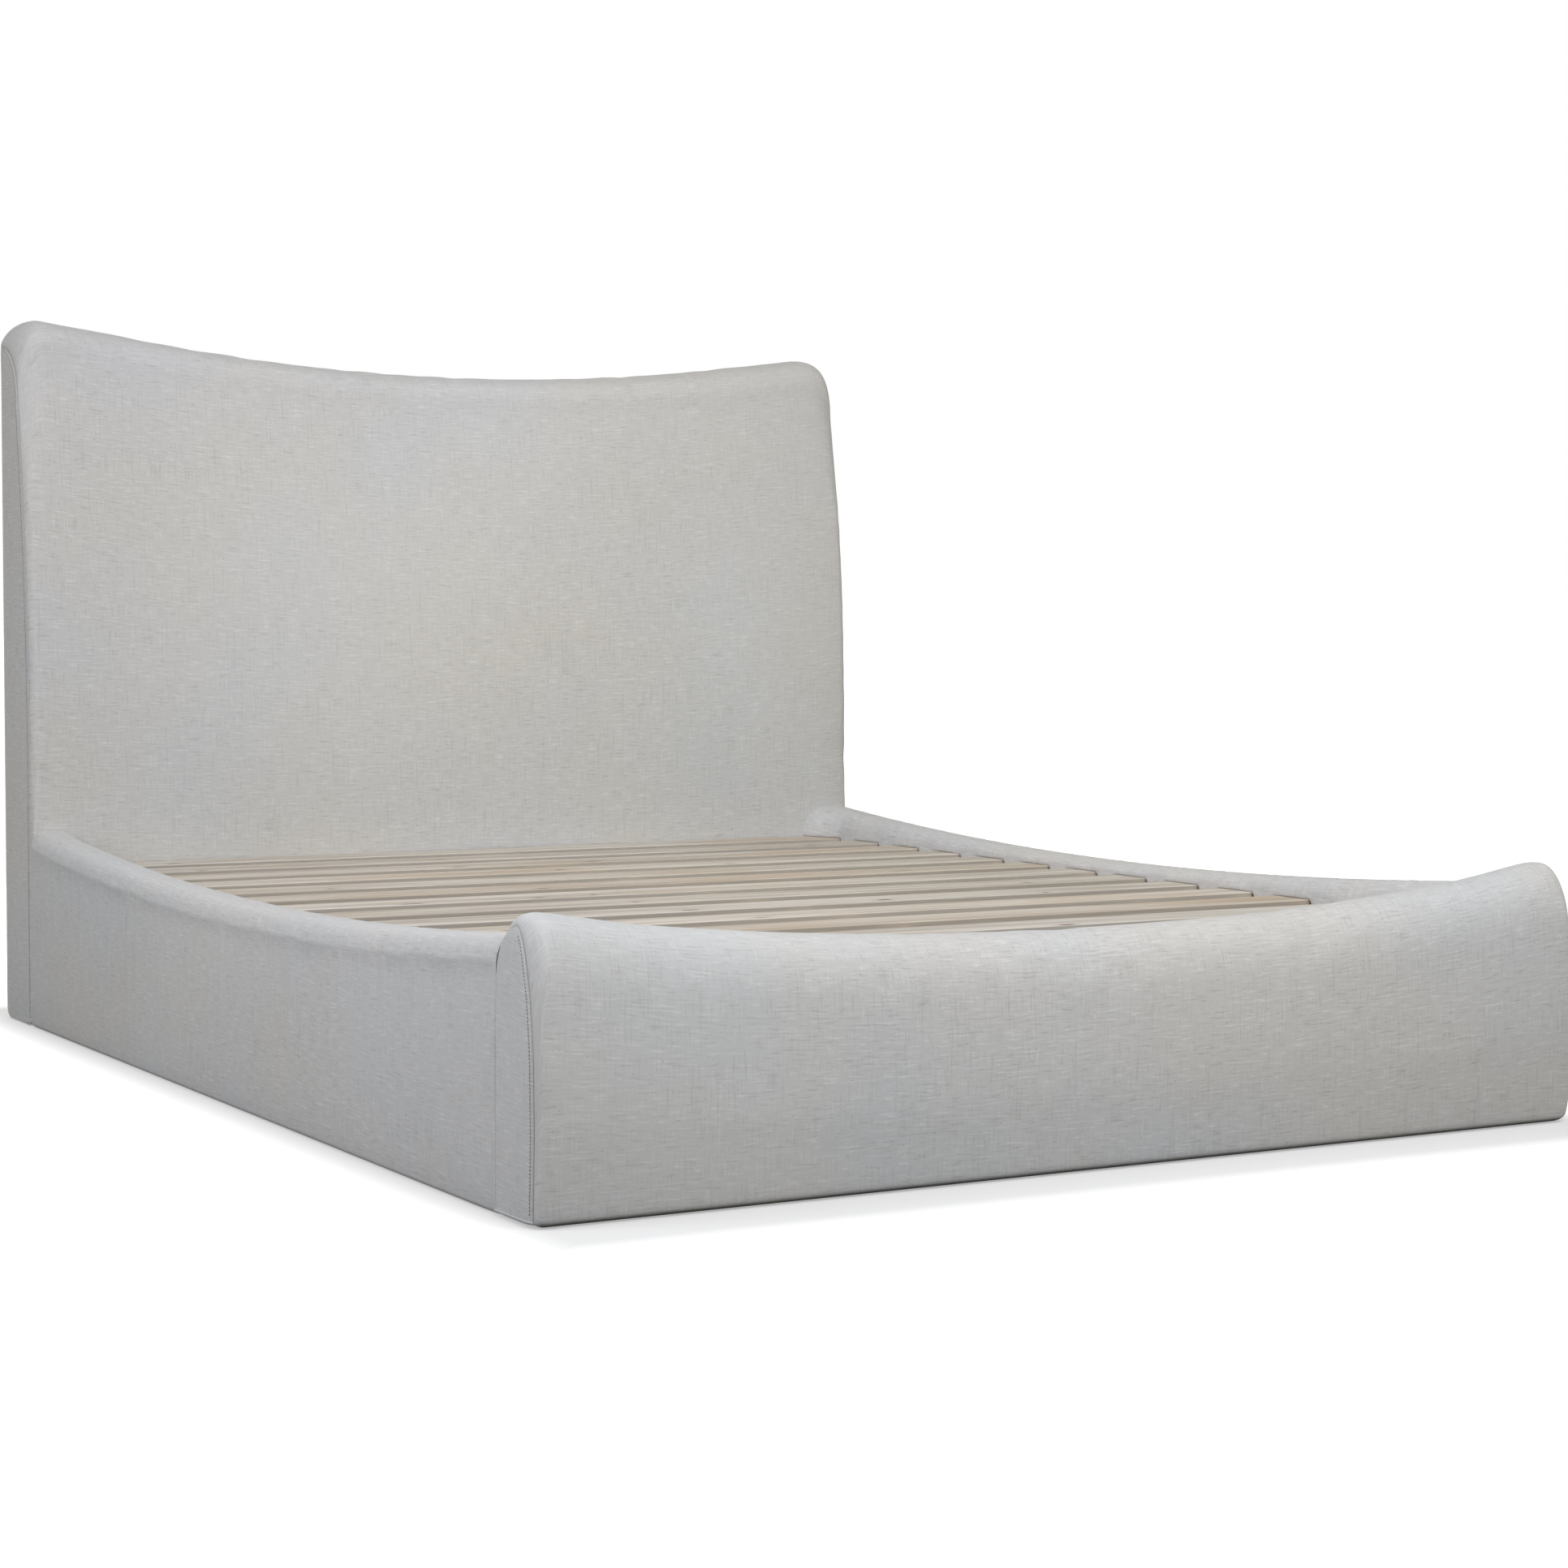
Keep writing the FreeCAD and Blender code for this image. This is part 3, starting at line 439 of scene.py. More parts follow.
def build_object(name, points, uv, material, closed_rows=False, flipped=False):
    """Quad mesh from a grid of points (rows, columns, 3) and its cloth positions (rows, columns, 2)."""
    rows, columns = points.shape[:2]
    faces = []
    face_uv = []
    for i in range(rows - 1 + closed_rows):
        i_next = (i + 1) % rows
        for j in range(columns - 1):
            faces.append((i * columns + j, i * columns + j + 1, i_next * columns + j + 1, i_next * columns + j))
            wrapped = uv[i_next] if i_next else 2 * uv[-1] - uv[-2]
            face_uv += [uv[i, j], uv[i, j + 1], wrapped[j + 1], wrapped[j]]
    piece = add_mesh(name, points.reshape(-1, 3).tolist(), faces, material)
    layer = piece.data.uv_layers.new(name=CLOTH_UV)
    layer.data.foreach_set("uv", np.asarray(face_uv, float).reshape(-1))
    if flipped:
        piece.data.flip_normals()
    return piece


def cloth_positions(points, row_zero=0.0):
    """Metres along the threads: across the columns and along the rows, from the middle column.

    row_zero cuts a piece from a part of the cloth of its own."""
    across = np.zeros(points.shape[:2])
    across[:, 1:] = np.cumsum(np.linalg.norm(np.diff(points, axis=1), axis=2), axis=1)
    across -= across[:, points.shape[1] // 2][:, None]
    down = np.zeros(points.shape[:2])
    down[1:] = np.cumsum(np.linalg.norm(np.diff(points, axis=0), axis=2), axis=0)
    middle = down[:, points.shape[1] // 2][:, None]
    return np.stack([across, 0.15 * down + 0.85 * middle + row_zero], axis=2)


COVER_THICKNESS = 0.0025
CLOTH_FRAMES = 16
CLOTH_PRESSURE = 4.0


def apply_modifiers(piece):
    bpy.context.view_layer.objects.active = piece
    piece.select_set(True)
    for modifier in list(piece.modifiers):
        bpy.ops.object.modifier_apply(modifier=modifier.name)
    piece.select_set(False)


def shade_smooth(piece):
    piece.data.polygons.foreach_set("use_smooth", [True] * len(piece.data.polygons))


def finish_cloth(piece):
    """Subdivide, give the cover its thickness inwards and shade it smooth."""
    subdivision = piece.modifiers.new("subdivision", "SUBSURF")
    subdivision.levels = subdivision.render_levels = 1
    solid = piece.modifiers.new("thickness", "SOLIDIFY")
    solid.thickness = COVER_THICKNESS
    solid.offset = -1.0
    solid.use_even_offset = False
    apply_modifiers(piece)
    shade_smooth(piece)
    piece.data.update()


def held_share(shape, held_rows, held_columns, soft=0.35, fade=5):
    """How firmly each point of a grid is held: fully at the given rows and columns, softly away from them."""
    rows, columns = shape
    hold = np.full(shape, soft)
    for row in held_rows:
        near = np.clip(1 - np.abs(np.arange(rows) - row) / fade, 0, 1)[:, None]
        hold = np.maximum(hold, soft + (1 - soft) * near)
    for column in held_columns:
        near = np.clip(1 - np.abs(np.arange(columns) - column) / fade, 0, 1)[None, :]
        hold = np.maximum(hold, soft + (1 - soft) * near)
    return hold


def settle_cloth(piece, hold, most):
    """Let a cover settle over its padding by cloth simulation, with no point moving further than most.

    It is sewn down where hold is 1, rests on foam elsewhere, and is pushed out a little by the padding."""
    count = len(piece.data.vertices)
    start = np.empty(count * 3)
    piece.data.vertices.foreach_get("co", start)
    group = piece.vertex_groups.new(name="held")
    for index, share in enumerate(hold.reshape(-1)):
        spot = Vector(start[3 * index:3 * index + 3])
        slack = 0.12 * noise.noise(spot * 3.1) + 0.08 * noise.noise(spot * 9.0)
        group.add([index], min(1.0, max(0.05, share + (slack if share < 0.95 else 0.0))), "REPLACE")
    cloth = piece.modifiers.new("cloth", "CLOTH")
    settings = cloth.settings
    settings.quality = 5
    settings.mass = 0.35
    settings.tension_stiffness = settings.compression_stiffness = 12.0
    settings.shear_stiffness = 4.0
    settings.bending_stiffness = 0.4
    settings.shrink_min = -0.004
    settings.use_pressure = True
    settings.uniform_pressure_force = CLOTH_PRESSURE
    settings.vertex_group_mass = group.name
    settings.pin_stiffness = 1.0
    settings.effector_weights.gravity = 0.0
    cloth.collision_settings.use_collision = False
    cloth.point_cache.frame_start = 1
    cloth.point_cache.frame_end = CLOTH_FRAMES
    for number in range(1, CLOTH_FRAMES + 1):
        scene.frame_set(number)
    settled = piece.evaluated_get(bpy.context.evaluated_depsgraph_get()).data
    moved = np.empty(count * 3)
    settled.vertices.foreach_get("co", moved)
    step = (moved - start).reshape(-1, 3)
    length = np.linalg.norm(step, axis=1)[:, None]
    step *= most * np.tanh(length / most) / np.maximum(length, 1e-9)
    piece.modifiers.remove(cloth)
    piece.vertex_groups.remove(group)
    piece.data.vertices.foreach_set("co", start + step.reshape(-1))
    piece.data.update()
    scene.frame_set(1)


def set_up_piece(piece, replaced):
    """Ride on the bed, in place of the replaced nodes, which are hidden."""
    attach(piece, "bed")
    if replaced:
        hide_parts(*replaced)


# ---------------------------------------------------------------- headboard
HEAD_LEAN_START = 0.480
HEAD_LEAN_RADIUS = 4.620
HEAD_CROWN_MIDDLE = 1.2581    # highest point of the section, at the bed's middle
HEAD_CROWN_BEND = 0.1075      # how fast it climbs to the sides
HEAD_CROWN_EASE = 0.0035      # how much lower it stays near its ends
HEAD_CROWN_SKEW = 0.0041      # the left end stands this much higher than even, the right end lower
HEAD_ROLL_HEIGHT = 0.075
HEAD_ROLL_POWER = 3.2
HEAD_END_ROLL = 0.056         # rounding of the top corners, across
HEAD_FULLNESS = (1.20, 0.80)  # left and right: under 1 makes a corner squarer than a circle
EDGE_ROLL = 0.012             # rounding of a board's front vertical edges
BUTT_ROLL = 0.004             # the same, lower down, where a side rail butts against it
HEM_RADIUS = 0.012
HEAD_BASE_CORNER = 0.020      # rounding of the side facings' lower rear corner
SEAM_SETBACK = 0.017          # the facing's seam runs this far behind the front
SEAM_DEPTH = 0.0016
FACING_BULGE = 0.0025
FACING_EASE = 0.008           # a facing reaches its full bulge over about this distance from its edge
HEM_LIFT = 0.0006
HEAD_SEAM_REAR = 0.004        # the facings stop this far before the headboard's rear
END_COLUMNS = 9


def head_front(z):
    rise = max(0.0, z - HEAD_LEAN_START)
    return HEAD_FRONT + rise * rise / (2 * HEAD_LEAN_RADIUS)


def head_crown(x):
    ease = HEAD_CROWN_EASE * smooth(abs(x), 0.66, 0.84)
    return HEAD_CROWN_MIDDLE + HEAD_CROWN_BEND * x * x - ease - HEAD_CROWN_SKEW * x / HALF


def hem_and_roll(front):
    """Points (y, z) from under the board, round its bottom edge, to the start of the face."""
    points = [(front + 0.034, FLOOR_GAP + 0.0025), (front + 0.024, FLOOR_GAP + HEM_LIFT)]
    for i in range(5):
        angle = math.radians(22.5 * i)
        y = front + HEM_RADIUS * (1 - math.sin(angle))
        points.append((y, FLOOR_GAP + HEM_RADIUS * (1 - math.cos(angle))))
    return points


HEM_ROWS = 7
HEAD_FRONT_ROWS = 46
HEAD_TOP_ROWS = 20
HEAD_BACK_ROWS = 3
HEAD_COLUMNS = 57             # across the middle of the wrap
HEAD_FACING_COLUMNS = 15
HEAD_SETTLE = 0.003           # how far the cloth simulation may move the wrap


def head_profile(x):
    """Section of the headboard's wrap at x: rows of (y, z)."""
    spring = head_crown(x) - HEAD_ROLL_HEIGHT
    low = FLOOR_GAP + HEM_RADIUS
    points = hem_and_roll(HEAD_FRONT)
    for i in range(1, HEAD_FRONT_ROWS + 1):
        z = low + (spring - low) * i / HEAD_FRONT_ROWS
        points.append((head_front(z), z))
    start = head_front(spring)
    top = super_quarter(HEAD_REAR - 0.003 - start, HEAD_ROLL_HEIGHT, HEAD_ROLL_POWER)
    top[:, 0] += start
    top[:, 1] += spring
    points += [tuple(p) for p in resample(top, HEAD_TOP_ROWS + 1)[1:]]
    crown = head_crown(x)
    points += [(HEAD_REAR - 0.0006, crown - 0.003), (HEAD_REAR, crown - 0.009), (HEAD_REAR, crown - 0.022)]
    return np.array(points)


SEAM_ARC_START = 1.181        # height where the facing's seam leaves the straight
SEAM_ARC_RISE = 0.101


def head_seam():
    """The facing's front and top edge, row for row with head_profile."""
    edge = head_profile(HALF - HEAD_END_ROLL)
    seam = []
    first_top = HEM_ROWS + HEAD_FRONT_ROWS
    spring = edge[first_top - 1, 1]
    for row, (y, z) in enumerate(edge[:first_top]):
        if row < HEM_ROWS:
            share = row / (HEM_ROWS - 1)
            seam.append((max(y, HEAD_FRONT + SEAM_SETBACK), FLOOR_GAP + HEM_LIFT + HEM_RADIUS * share))
        else:
            lowered = z - (spring - SEAM_ARC_START) * smooth(z, 0.90, spring)
            setback = SEAM_SETBACK + 0.005 * smooth(z, 0.8, spring)
            seam.append((head_front(lowered) + setback, lowered))
    start_y = seam[-1][0]
    reach = HEAD_REAR - HEAD_SEAM_REAR - start_y
    arc = []
    for i in range(65):
        angle = math.pi / 2 * i / 64
        arc.append((start_y + reach * (1 - math.cos(angle)), SEAM_ARC_START + SEAM_ARC_RISE * math.sin(angle)))
    seam += [tuple(p) for p in resample(arc, HEAD_TOP_ROWS + 1)[1:]]
    end_z = seam[-1][1]
    seam += [(HEAD_REAR - 0.003, end_z), (HEAD_REAR - 0.002, end_z - 0.004), (HEAD_REAR - 0.002, end_z - 0.012)]
    return np.array(seam)


def make_wrap_grid(profile, seam, end_roll, middle_columns, fullness):
    """Grid of a wrap: profile sections across the middle, then rounded ends down to the seams.

    The rounding is end_roll[row] wide, and takes each row from the profile to the seam."""
    rows = len(seam)
    grid = np.zeros((rows, middle_columns + 2 * END_COLUMNS, 3))
    stations = np.linspace(-HALF, HALF, 121)
    table = np.stack([profile(x) for x in stations])
    shares = np.linspace(-1, 1, middle_columns)
    for row in range(rows):
        edge_x = HALF - end_roll[row]
        for k, share in enumerate(shares):
            x = share * edge_x
            y = np.interp(x, stations, table[:, row, 0])
            z = np.interp(x, stations, table[:, row, 1])
            grid[row, END_COLUMNS + k] = (x, y, z)
        ends = ((-1, END_COLUMNS, -1, fullness[0]), (1, END_COLUMNS + middle_columns - 1, 1, fullness[1]))
        for side, last, step, power in ends:
            edge = grid[row, last, 1:].copy()
            for k in range(1, END_COLUMNS + 1):
                angle = math.pi / 2 * k / END_COLUMNS
                y, z = edge + (seam[row] - edge) * (1 - math.cos(angle) ** power)
                reach = end_roll[row] * math.sin(angle) ** power
                grid[row, last + step * k] = (side * (edge_x + reach), y, z)
    return grid


def sink_seam(grid, depths):
    """Move the last columns of a wrap in by depths[row], where they are sewn to the facings."""
    grid[:, 0, 0] += depths
    grid[:, -1, 0] -= depths
    return grid


def facing_grid(front, rear, side, columns, bulge, open_rear=False):
    """Side facing between two edges given row for row, standing slightly proud in the middle.

    An open rear edge isn't drawn in by a seam."""
    rows = len(front)
    grid = np.zeros((rows, columns, 3))
    for row in range(rows):
        width = max(1e-6, abs(rear[row][0] - front[row][0]))
        for column in range(columns):
            share = column / (columns - 1)
            y = front[row][0] + (rear[row][0] - front[row][0]) * share
            z = front[row][1] + (rear[row][1] - front[row][1]) * share
            from_edge = share * width if open_rear else min(share, 1 - share) * width
            swell = bulge * min(1.0, width / 0.05) * (1 - math.exp(-from_edge / FACING_EASE))
            sunk = SEAM_DEPTH * math.exp(-(from_edge / 0.0022) ** 2)
            grid[row, column] = (side * (HALF + swell - sunk), y, z)
    return grid


FACING_TUCK = ((0.0012, 0.0030), (0.0042, 0.0040), (0.0200, 0.0040))    # a facing's turn round the rear edge
STITCH_PITCH = 0.0048
STITCH_LENGTH = 0.0030
STITCH_WIDTH = 0.0009
STITCH_OFFSET = 0.0060        # distance of the topstitching from the seam
STITCH_RINGS = (-0.5, -0.25, 0.0, 0.25, 0.5)
STITCH_SIDES = 6


def offset_inward(front, rear, distance):
    """Points on a facing, this far from its front edge, where the facing is wide enough."""
    points = []
    for a, b in zip(np.asarray(front, float), np.asarray(rear, float)):
        width = np.linalg.norm(b - a)
        if width > 3 * distance:
            points.append(a + (b - a) * distance / width)
    return np.array(points)


def make_facing(name, grid, row_zero, side, linen):
    facing = build_object(name + "_side", grid, cloth_positions(grid, row_zero), linen, flipped=side < 0)
    finish_cloth(facing)
    set_up_piece(facing, (name + "_facing",))


def make_stitches(name, front, rear, side, bulge, thread):
    """Topstitching along a facing's front edge: short rounded stitches that dip into the cloth at both ends."""
    line = offset_inward(front[HEM_ROWS - 1:], rear[HEM_ROWS - 1:], STITCH_OFFSET)
    out_x = HALF + bulge * (1 - math.exp(-STITCH_OFFSET / FACING_EASE))
    steps = np.r_[0, np.cumsum(np.linalg.norm(np.diff(line, axis=0), axis=1))]
    verts, faces = [], []
    for k in range(int(steps[-1] / STITCH_PITCH)):
        ring_at = []
        for share in STITCH_RINGS:
            along = (k + 0.5) * STITCH_PITCH + share * STITCH_LENGTH
            y = np.interp(along, steps, line[:, 0])
            z = np.interp(along, steps, line[:, 1])
            rise = STITCH_WIDTH * (0.55 - 3.4 * share * share)
            ring_at.append((out_x + rise, y, z))
        first = len(verts)
        ahead = np.array(ring_at[-1][1:]) - np.array(ring_at[0][1:])
        ahead /= np.linalg.norm(ahead)
        across = np.array((-ahead[1], ahead[0]))
        for x, y, z in ring_at:
            for corner in range(STITCH_SIDES):
                angle = 2 * math.pi * corner / STITCH_SIDES
                sway = across * STITCH_WIDTH / 2 * math.cos(angle)
                verts.append((side * (x + STITCH_WIDTH / 2 * math.sin(angle)), y + sway[0], z + sway[1]))
        for low in range(first, len(verts) - STITCH_SIDES, STITCH_SIDES):
            for corner in range(STITCH_SIDES):
                a, b = low + corner, low + (corner + 1) % STITCH_SIDES
                faces.append((a, b, b + STITCH_SIDES, a + STITCH_SIDES))
        faces.append(tuple(range(first + STITCH_SIDES - 1, first - 1, -1)))
        faces.append(tuple(range(len(verts) - STITCH_SIDES, len(verts))))
    stitches = add_mesh(name + "_stitching", verts, faces, thread)
    edit = bmesh.new()
    edit.from_mesh(stitches.data)
    bmesh.ops.recalc_face_normals(edit, faces=edit.faces)
    edit.to_mesh(stitches.data)
    edit.free()
    shade_smooth(stitches)
    set_up_piece(stitches, ())


def make_headboard(linen, thread):
    """The headboard's wrap, its two side facings with topstitching, and its back."""
    seam = head_seam()
    end_roll = []
    edge = head_profile(HALF - HEAD_END_ROLL)
    first_top = HEM_ROWS + HEAD_FRONT_ROWS
    spring = edge[first_top - 1, 1]
    for row, (_, z) in enumerate(edge):
        if row < first_top:
            low_roll = BUTT_ROLL + (EDGE_ROLL - BUTT_ROLL) * smooth(z, 0.35, 0.48)
            end_roll.append(low_roll + (HEAD_END_ROLL - EDGE_ROLL) * smooth(z, 0.95, spring))
        else:
            end_roll.append(HEAD_END_ROLL)
    grid = make_wrap_grid(head_profile, seam, end_roll, HEAD_COLUMNS, HEAD_FULLNESS)
    wrap = build_object("headboard_wrap", sink_seam(grid, SEAM_DEPTH), cloth_positions(grid), linen)
    columns = grid.shape[1]
    hold = held_share(grid.shape[:2], range(HEM_ROWS), (0, columns - 1))
    hold[-HEAD_BACK_ROWS - 1:] = 1.0
    settle_cloth(wrap, hold, HEAD_SETTLE)
    finish_cloth(wrap)
    set_up_piece(wrap, ("headboard_front_cover", "headboard_foam"))

    front = seam[:first_top + HEAD_TOP_ROWS]
    rear = []
    for _, z in front:
        below = max(0.0, HEAD_BASE_CORNER - (z - front[0][1]))
        rounding = HEAD_BASE_CORNER - math.sqrt(HEAD_BASE_CORNER ** 2 - below ** 2)
        rear.append((HEAD_REAR - HEAD_SEAM_REAR - rounding, z))
    for side, name in ((-1, "left"), (1, "right")):
        flat = facing_grid(front, rear, side, HEAD_FACING_COLUMNS, FACING_BULGE)
        tucked = [np.stack([np.full(len(flat), side * (HALF - x_in)), flat[:, -1, 1] + y_out, flat[:, -1, 2]], axis=1)
                  for x_in, y_out in FACING_TUCK]
        grid = np.concatenate([flat, np.stack(tucked, axis=1)], axis=1)
        make_facing("headboard_" + name, grid, 3.0 + side, side, linen)
        make_stitches("headboard_" + name, front, rear, side, FACING_BULGE, thread)

    make_headboard_back(linen)


HEAD_BACK_MARGIN = 0.012      # the back panel stops this far inside the headboard's outline
HEAD_BACK_CORNER = 1.289      # its height at the sides, where its top corners are cut
HEAD_BACK_ROWS_COLUMNS = (36, 49)


def make_headboard_back(linen):
    """Flat back panel, slightly puffed inside its edges."""
    rows, columns = HEAD_BACK_ROWS_COLUMNS
    margin = HEAD_BACK_MARGIN
    grid = np.zeros((rows, columns, 3))
    for row in range(rows):
        for column in range(columns):
            x = (HALF - margin) * (2 * column / (columns - 1) - 1)
            top = min(head_crown(x) - margin, HEAD_BACK_CORNER + 0.6 * (HALF - abs(x)))
            z = margin + (top - margin) * row / (rows - 1)
            edge = min(HALF - margin - abs(x), z - margin, top - z)
            puff = 0.0016 * (1 - math.exp(-edge / 0.02)) + 0.0006 * noise.noise(Vector((x * 3, z * 3, 4.2)))
            grid[row, column] = (x, HEAD_REAR + 0.0008 + puff, z)
    back = build_object("headboard_back", grid, cloth_positions(grid, 7.0), linen, flipped=True)
    finish_cloth(back)
    set_up_piece(back, ("headboard_back_cover",))


# ---------------------------------------------------------------- footboard
FOOT_ROLL_HEIGHT = 0.100
FOOT_ROLL_POWER = 2.2
FOOT_REAR_ROLL_POWER = 2.5
FOOT_CROWN_MIDDLE = 0.342
FOOT_CROWN_RISE = 0.062
FOOT_CROWN_LIFT = 0.0038      # how much fuller the top is near its ends
FOOT_END_ROLL = 0.032
FOOT_DEPTH = FOOT_REAR - FOOT_FRONT
FOOT_FACE_ROWS = 12
FOOT_TOP_HALF_ROWS = 13
FOOT_COLUMNS = 61             # across the middle of the wrap
FOOT_FACING_COLUMNS = 17
FOOT_SETTLE = 0.0025          # how far the cloth simulation may move the wrap


def foot_crown(x):
    lift = FOOT_CROWN_LIFT * smooth(abs(x), 0.70, 0.85)
    return FOOT_CROWN_MIDDLE + FOOT_CROWN_RISE * (abs(x) / HALF) ** 2.2 + lift


def foot_profile(x):
    """Section of the footboard's wrap at x: front hem, front, rolled top, rear, rear hem."""
    spring = foot_crown(x) - FOOT_ROLL_HEIGHT
    low = FLOOR_GAP + HEM_RADIUS
    half = hem_and_roll(FOOT_FRONT)
    for i in range(1, FOOT_FACE_ROWS + 1):
        share = i / FOOT_FACE_ROWS
        swell = 0.0015 * math.sin(math.pi * share)
        half.append((FOOT_FRONT - swell, low + (spring - low) * share))
    faces = len(half)
    for power in (FOOT_ROLL_POWER, FOOT_REAR_ROLL_POWER):
        top = super_quarter(FOOT_DEPTH / 2, FOOT_ROLL_HEIGHT, power)
        top = resample(top, FOOT_TOP_HALF_ROWS + 1)[1:]
        half += [(FOOT_FRONT + y, spring + z) for y, z in top]
    front = half[:faces + FOOT_TOP_HALF_ROWS]
    rear = half[:faces] + half[faces + FOOT_TOP_HALF_ROWS:-1]
    return np.array(front + [(FOOT_FRONT + FOOT_REAR - y, z) for y, z in rear[::-1]])


# The facing's seam up the footboard's front and rear to its tip: depth behind the front, height.
FOOT_SEAM_FRONT = ((0.017, 0.018), (0.014, 0.122), (0.017, 0.224), (0.026, 0.297), (0.034, 0.328),
                   (0.043, 0.360), (0.053, 0.377), (0.064, 0.388))
FOOT_SEAM_REAR = ((0.1228, 0.018), (0.1228, 0.300), (0.1205, 0.322), (0.115, 0.343), (0.105, 0.361),
                  (0.092, 0.374), (0.078, 0.383), (0.064, 0.388))
FOOT_FULLNESS = (0.88, 0.70)
FOOT_CORNER_LIFT = 0.005      # the hem rises this much to the seam at the footboard's ends
FOOT_BASE_CORNER = (0.010, 0.028)    # rounding of the lower corners, left and right
FOOT_BASE_FADE = 0.05         # it fades out over this depth before the rail
FOOT_BASE_REACH = 0.08        # and over this length towards the middle
FOOT_EDGE_ROLL = 0.006
FOOT_FACING_BULGE = 0.0034    # flush with the side rails' outer faces
REAR_EDGE_ROLL = 0.0028       # the footboard's rear vertical edges, where the rails meet it


def foot_seam_half(line, edge_rows):
    """Seam up one face of the footboard to its tip, row for row with that half of foot_profile."""
    upper = resample(resample(line, 60), FOOT_FACE_ROWS + FOOT_TOP_HALF_ROWS + 1)[1:]
    half = []
    for row in range(HEM_ROWS):
        share = row / (HEM_ROWS - 1)
        half.append((FOOT_FRONT + line[0][0], edge_rows[row, 1] + FOOT_CORNER_LIFT * (1 - 0.6 * share)))
    return half + [(FOOT_FRONT + y, z) for y, z in upper]


def foot_seam():
    """The facing's edge, row for row with foot_profile: up the front, over its tip and down the rear."""
    edge = foot_profile(HALF - FOOT_END_ROLL)
    half = foot_seam_half(FOOT_SEAM_FRONT, edge)
    rear = foot_seam_half(FOOT_SEAM_REAR, edge)
    return np.array(half + rear[-2::-1])


def round_base(grid):
    """Round the footboard's lower corners as seen from the front."""
    x = grid[:, :, 0]
    radius = np.where(x < 0, *FOOT_BASE_CORNER)
    below = np.clip(radius - (grid[:, :, 2] - FLOOR_GAP), 0.0, radius)
    inset = radius - np.sqrt(radius ** 2 - below ** 2)
    share = np.clip((np.abs(x) - (HALF - FOOT_BASE_REACH)) / FOOT_BASE_REACH, 0.0, 1.0)
    share = share * np.clip((FOOT_REAR - grid[:, :, 1]) / FOOT_BASE_FADE, 0.0, 1.0)
    grid[:, :, 0] = x - np.sign(x) * inset * share
    return grid


def make_footboard(linen, thread):
    """The footboard's wrap, and its two side facings with topstitching."""
    seam = foot_seam()
    edge = foot_profile(HALF - FOOT_END_ROLL)
    spring = foot_crown(HALF - FOOT_END_ROLL) - FOOT_ROLL_HEIGHT
    end_roll = []
    for y, z in edge:
        if y < FOOT_FRONT + FOOT_DEPTH / 2:
            low_roll, share = FOOT_EDGE_ROLL, smooth(z, spring - 0.06, spring + 0.085)
        else:
            low_roll, share = REAR_EDGE_ROLL, smooth(z, spring + 0.025, spring + 0.09)
        end_roll.append(low_roll + (FOOT_END_ROLL - low_roll) * share)
    grid = make_wrap_grid(foot_profile, seam, end_roll, FOOT_COLUMNS, FOOT_FULLNESS)
    half_rows = len(seam) // 2 + 1
    depths = np.full(len(seam), SEAM_DEPTH)
    below_tip = np.array([1 - smooth(z, 0.330, 0.372) for _, z in seam[half_rows:]])
    depths[half_rows:] -= (FOOT_FACING_BULGE + SEAM_DEPTH) * below_tip
    wrap = build_object("footboard_wrap", round_base(sink_seam(grid, depths)), cloth_positions(grid, 11.0), linen)
    rows, columns = grid.shape[:2]
    hems = list(range(HEM_ROWS)) + list(range(rows - HEM_ROWS, rows))
    settle_cloth(wrap, held_share((rows, columns), hems, (0, columns - 1)), FOOT_SETTLE)
    finish_cloth(wrap)
    set_up_piece(wrap, ("footboard_cover", "footboard_foam"))
    front = seam[:half_rows]
    rear = seam[::-1][:half_rows]
    for side, name in ((-1, "left"), (1, "right")):
        grid = facing_grid(front, rear, side, FOOT_FACING_COLUMNS, FOOT_FACING_BULGE, open_rear=True)
        grid = round_base(grid)
        make_facing("footboard_" + name, grid, 15.0 + side, side, linen)
        make_stitches("footboard_" + name, front, rear, side, FOOT_FACING_BULGE, thread)


# ---------------------------------------------------------------- side rails
RAIL_FOOT_END = FOOT_REAR + 0.0003
RAIL_HEAD_END = HEAD_FRONT - 0.0008
RAIL_MIDDLE = (RAIL_FOOT_END + RAIL_HEAD_END) / 2
RAIL_HALF_LENGTH = (RAIL_HEAD_END - RAIL_FOOT_END) / 2
RAIL_TOP_MIDDLE = 0.325
RAIL_TOP_RISE = 0.0445
RAIL_LEVEL_END = 0.842        # inner end of the level top
RAIL_INNER = 0.8168           # inner edge, level with the slat tops
RAIL_BULGE = 0.0030           # how much further in the padding stands between slats, below their tops
RAIL_PUFF = 0.0355            # how much further in it stands where it meets the headboard
RAIL_PUFF_REACH = 0.096
RAIL_END_EASE = 0.0018        # the outer face draws in this much at the footboard
RAIL_FLOOR_GAP = 0.0012
RAIL_STEP_X = 0.824           # inner face below the lip
LIP_BOTTOM = 0.287
RAIL_ROLL_HEIGHT = 0.038
RAIL_ROLL_WIDTH = 0.030
RAIL_HEM_RADIUS = 0.008
RAIL_EDGE_RISE = 0.0046       # the padding's inner edge stands this far above the slats
RAIL_SETTLE = 0.0015          # how far the cloth simulation may move a rail's cover
RAIL_CENTRE_X = 0.86          # a rail's end rounding draws its section in towards here
RAIL_HEM_ROWS = 5
RAIL_SOFT_ROWS = 40           # rows of a rail's section from its hem to where it starts to fall to the slats
RAIL_ENDS = ((0.0, 0.0022), (0.0006, 0.0008), (0.0018, 0.0001))    # place and inset of a rail's end rounding


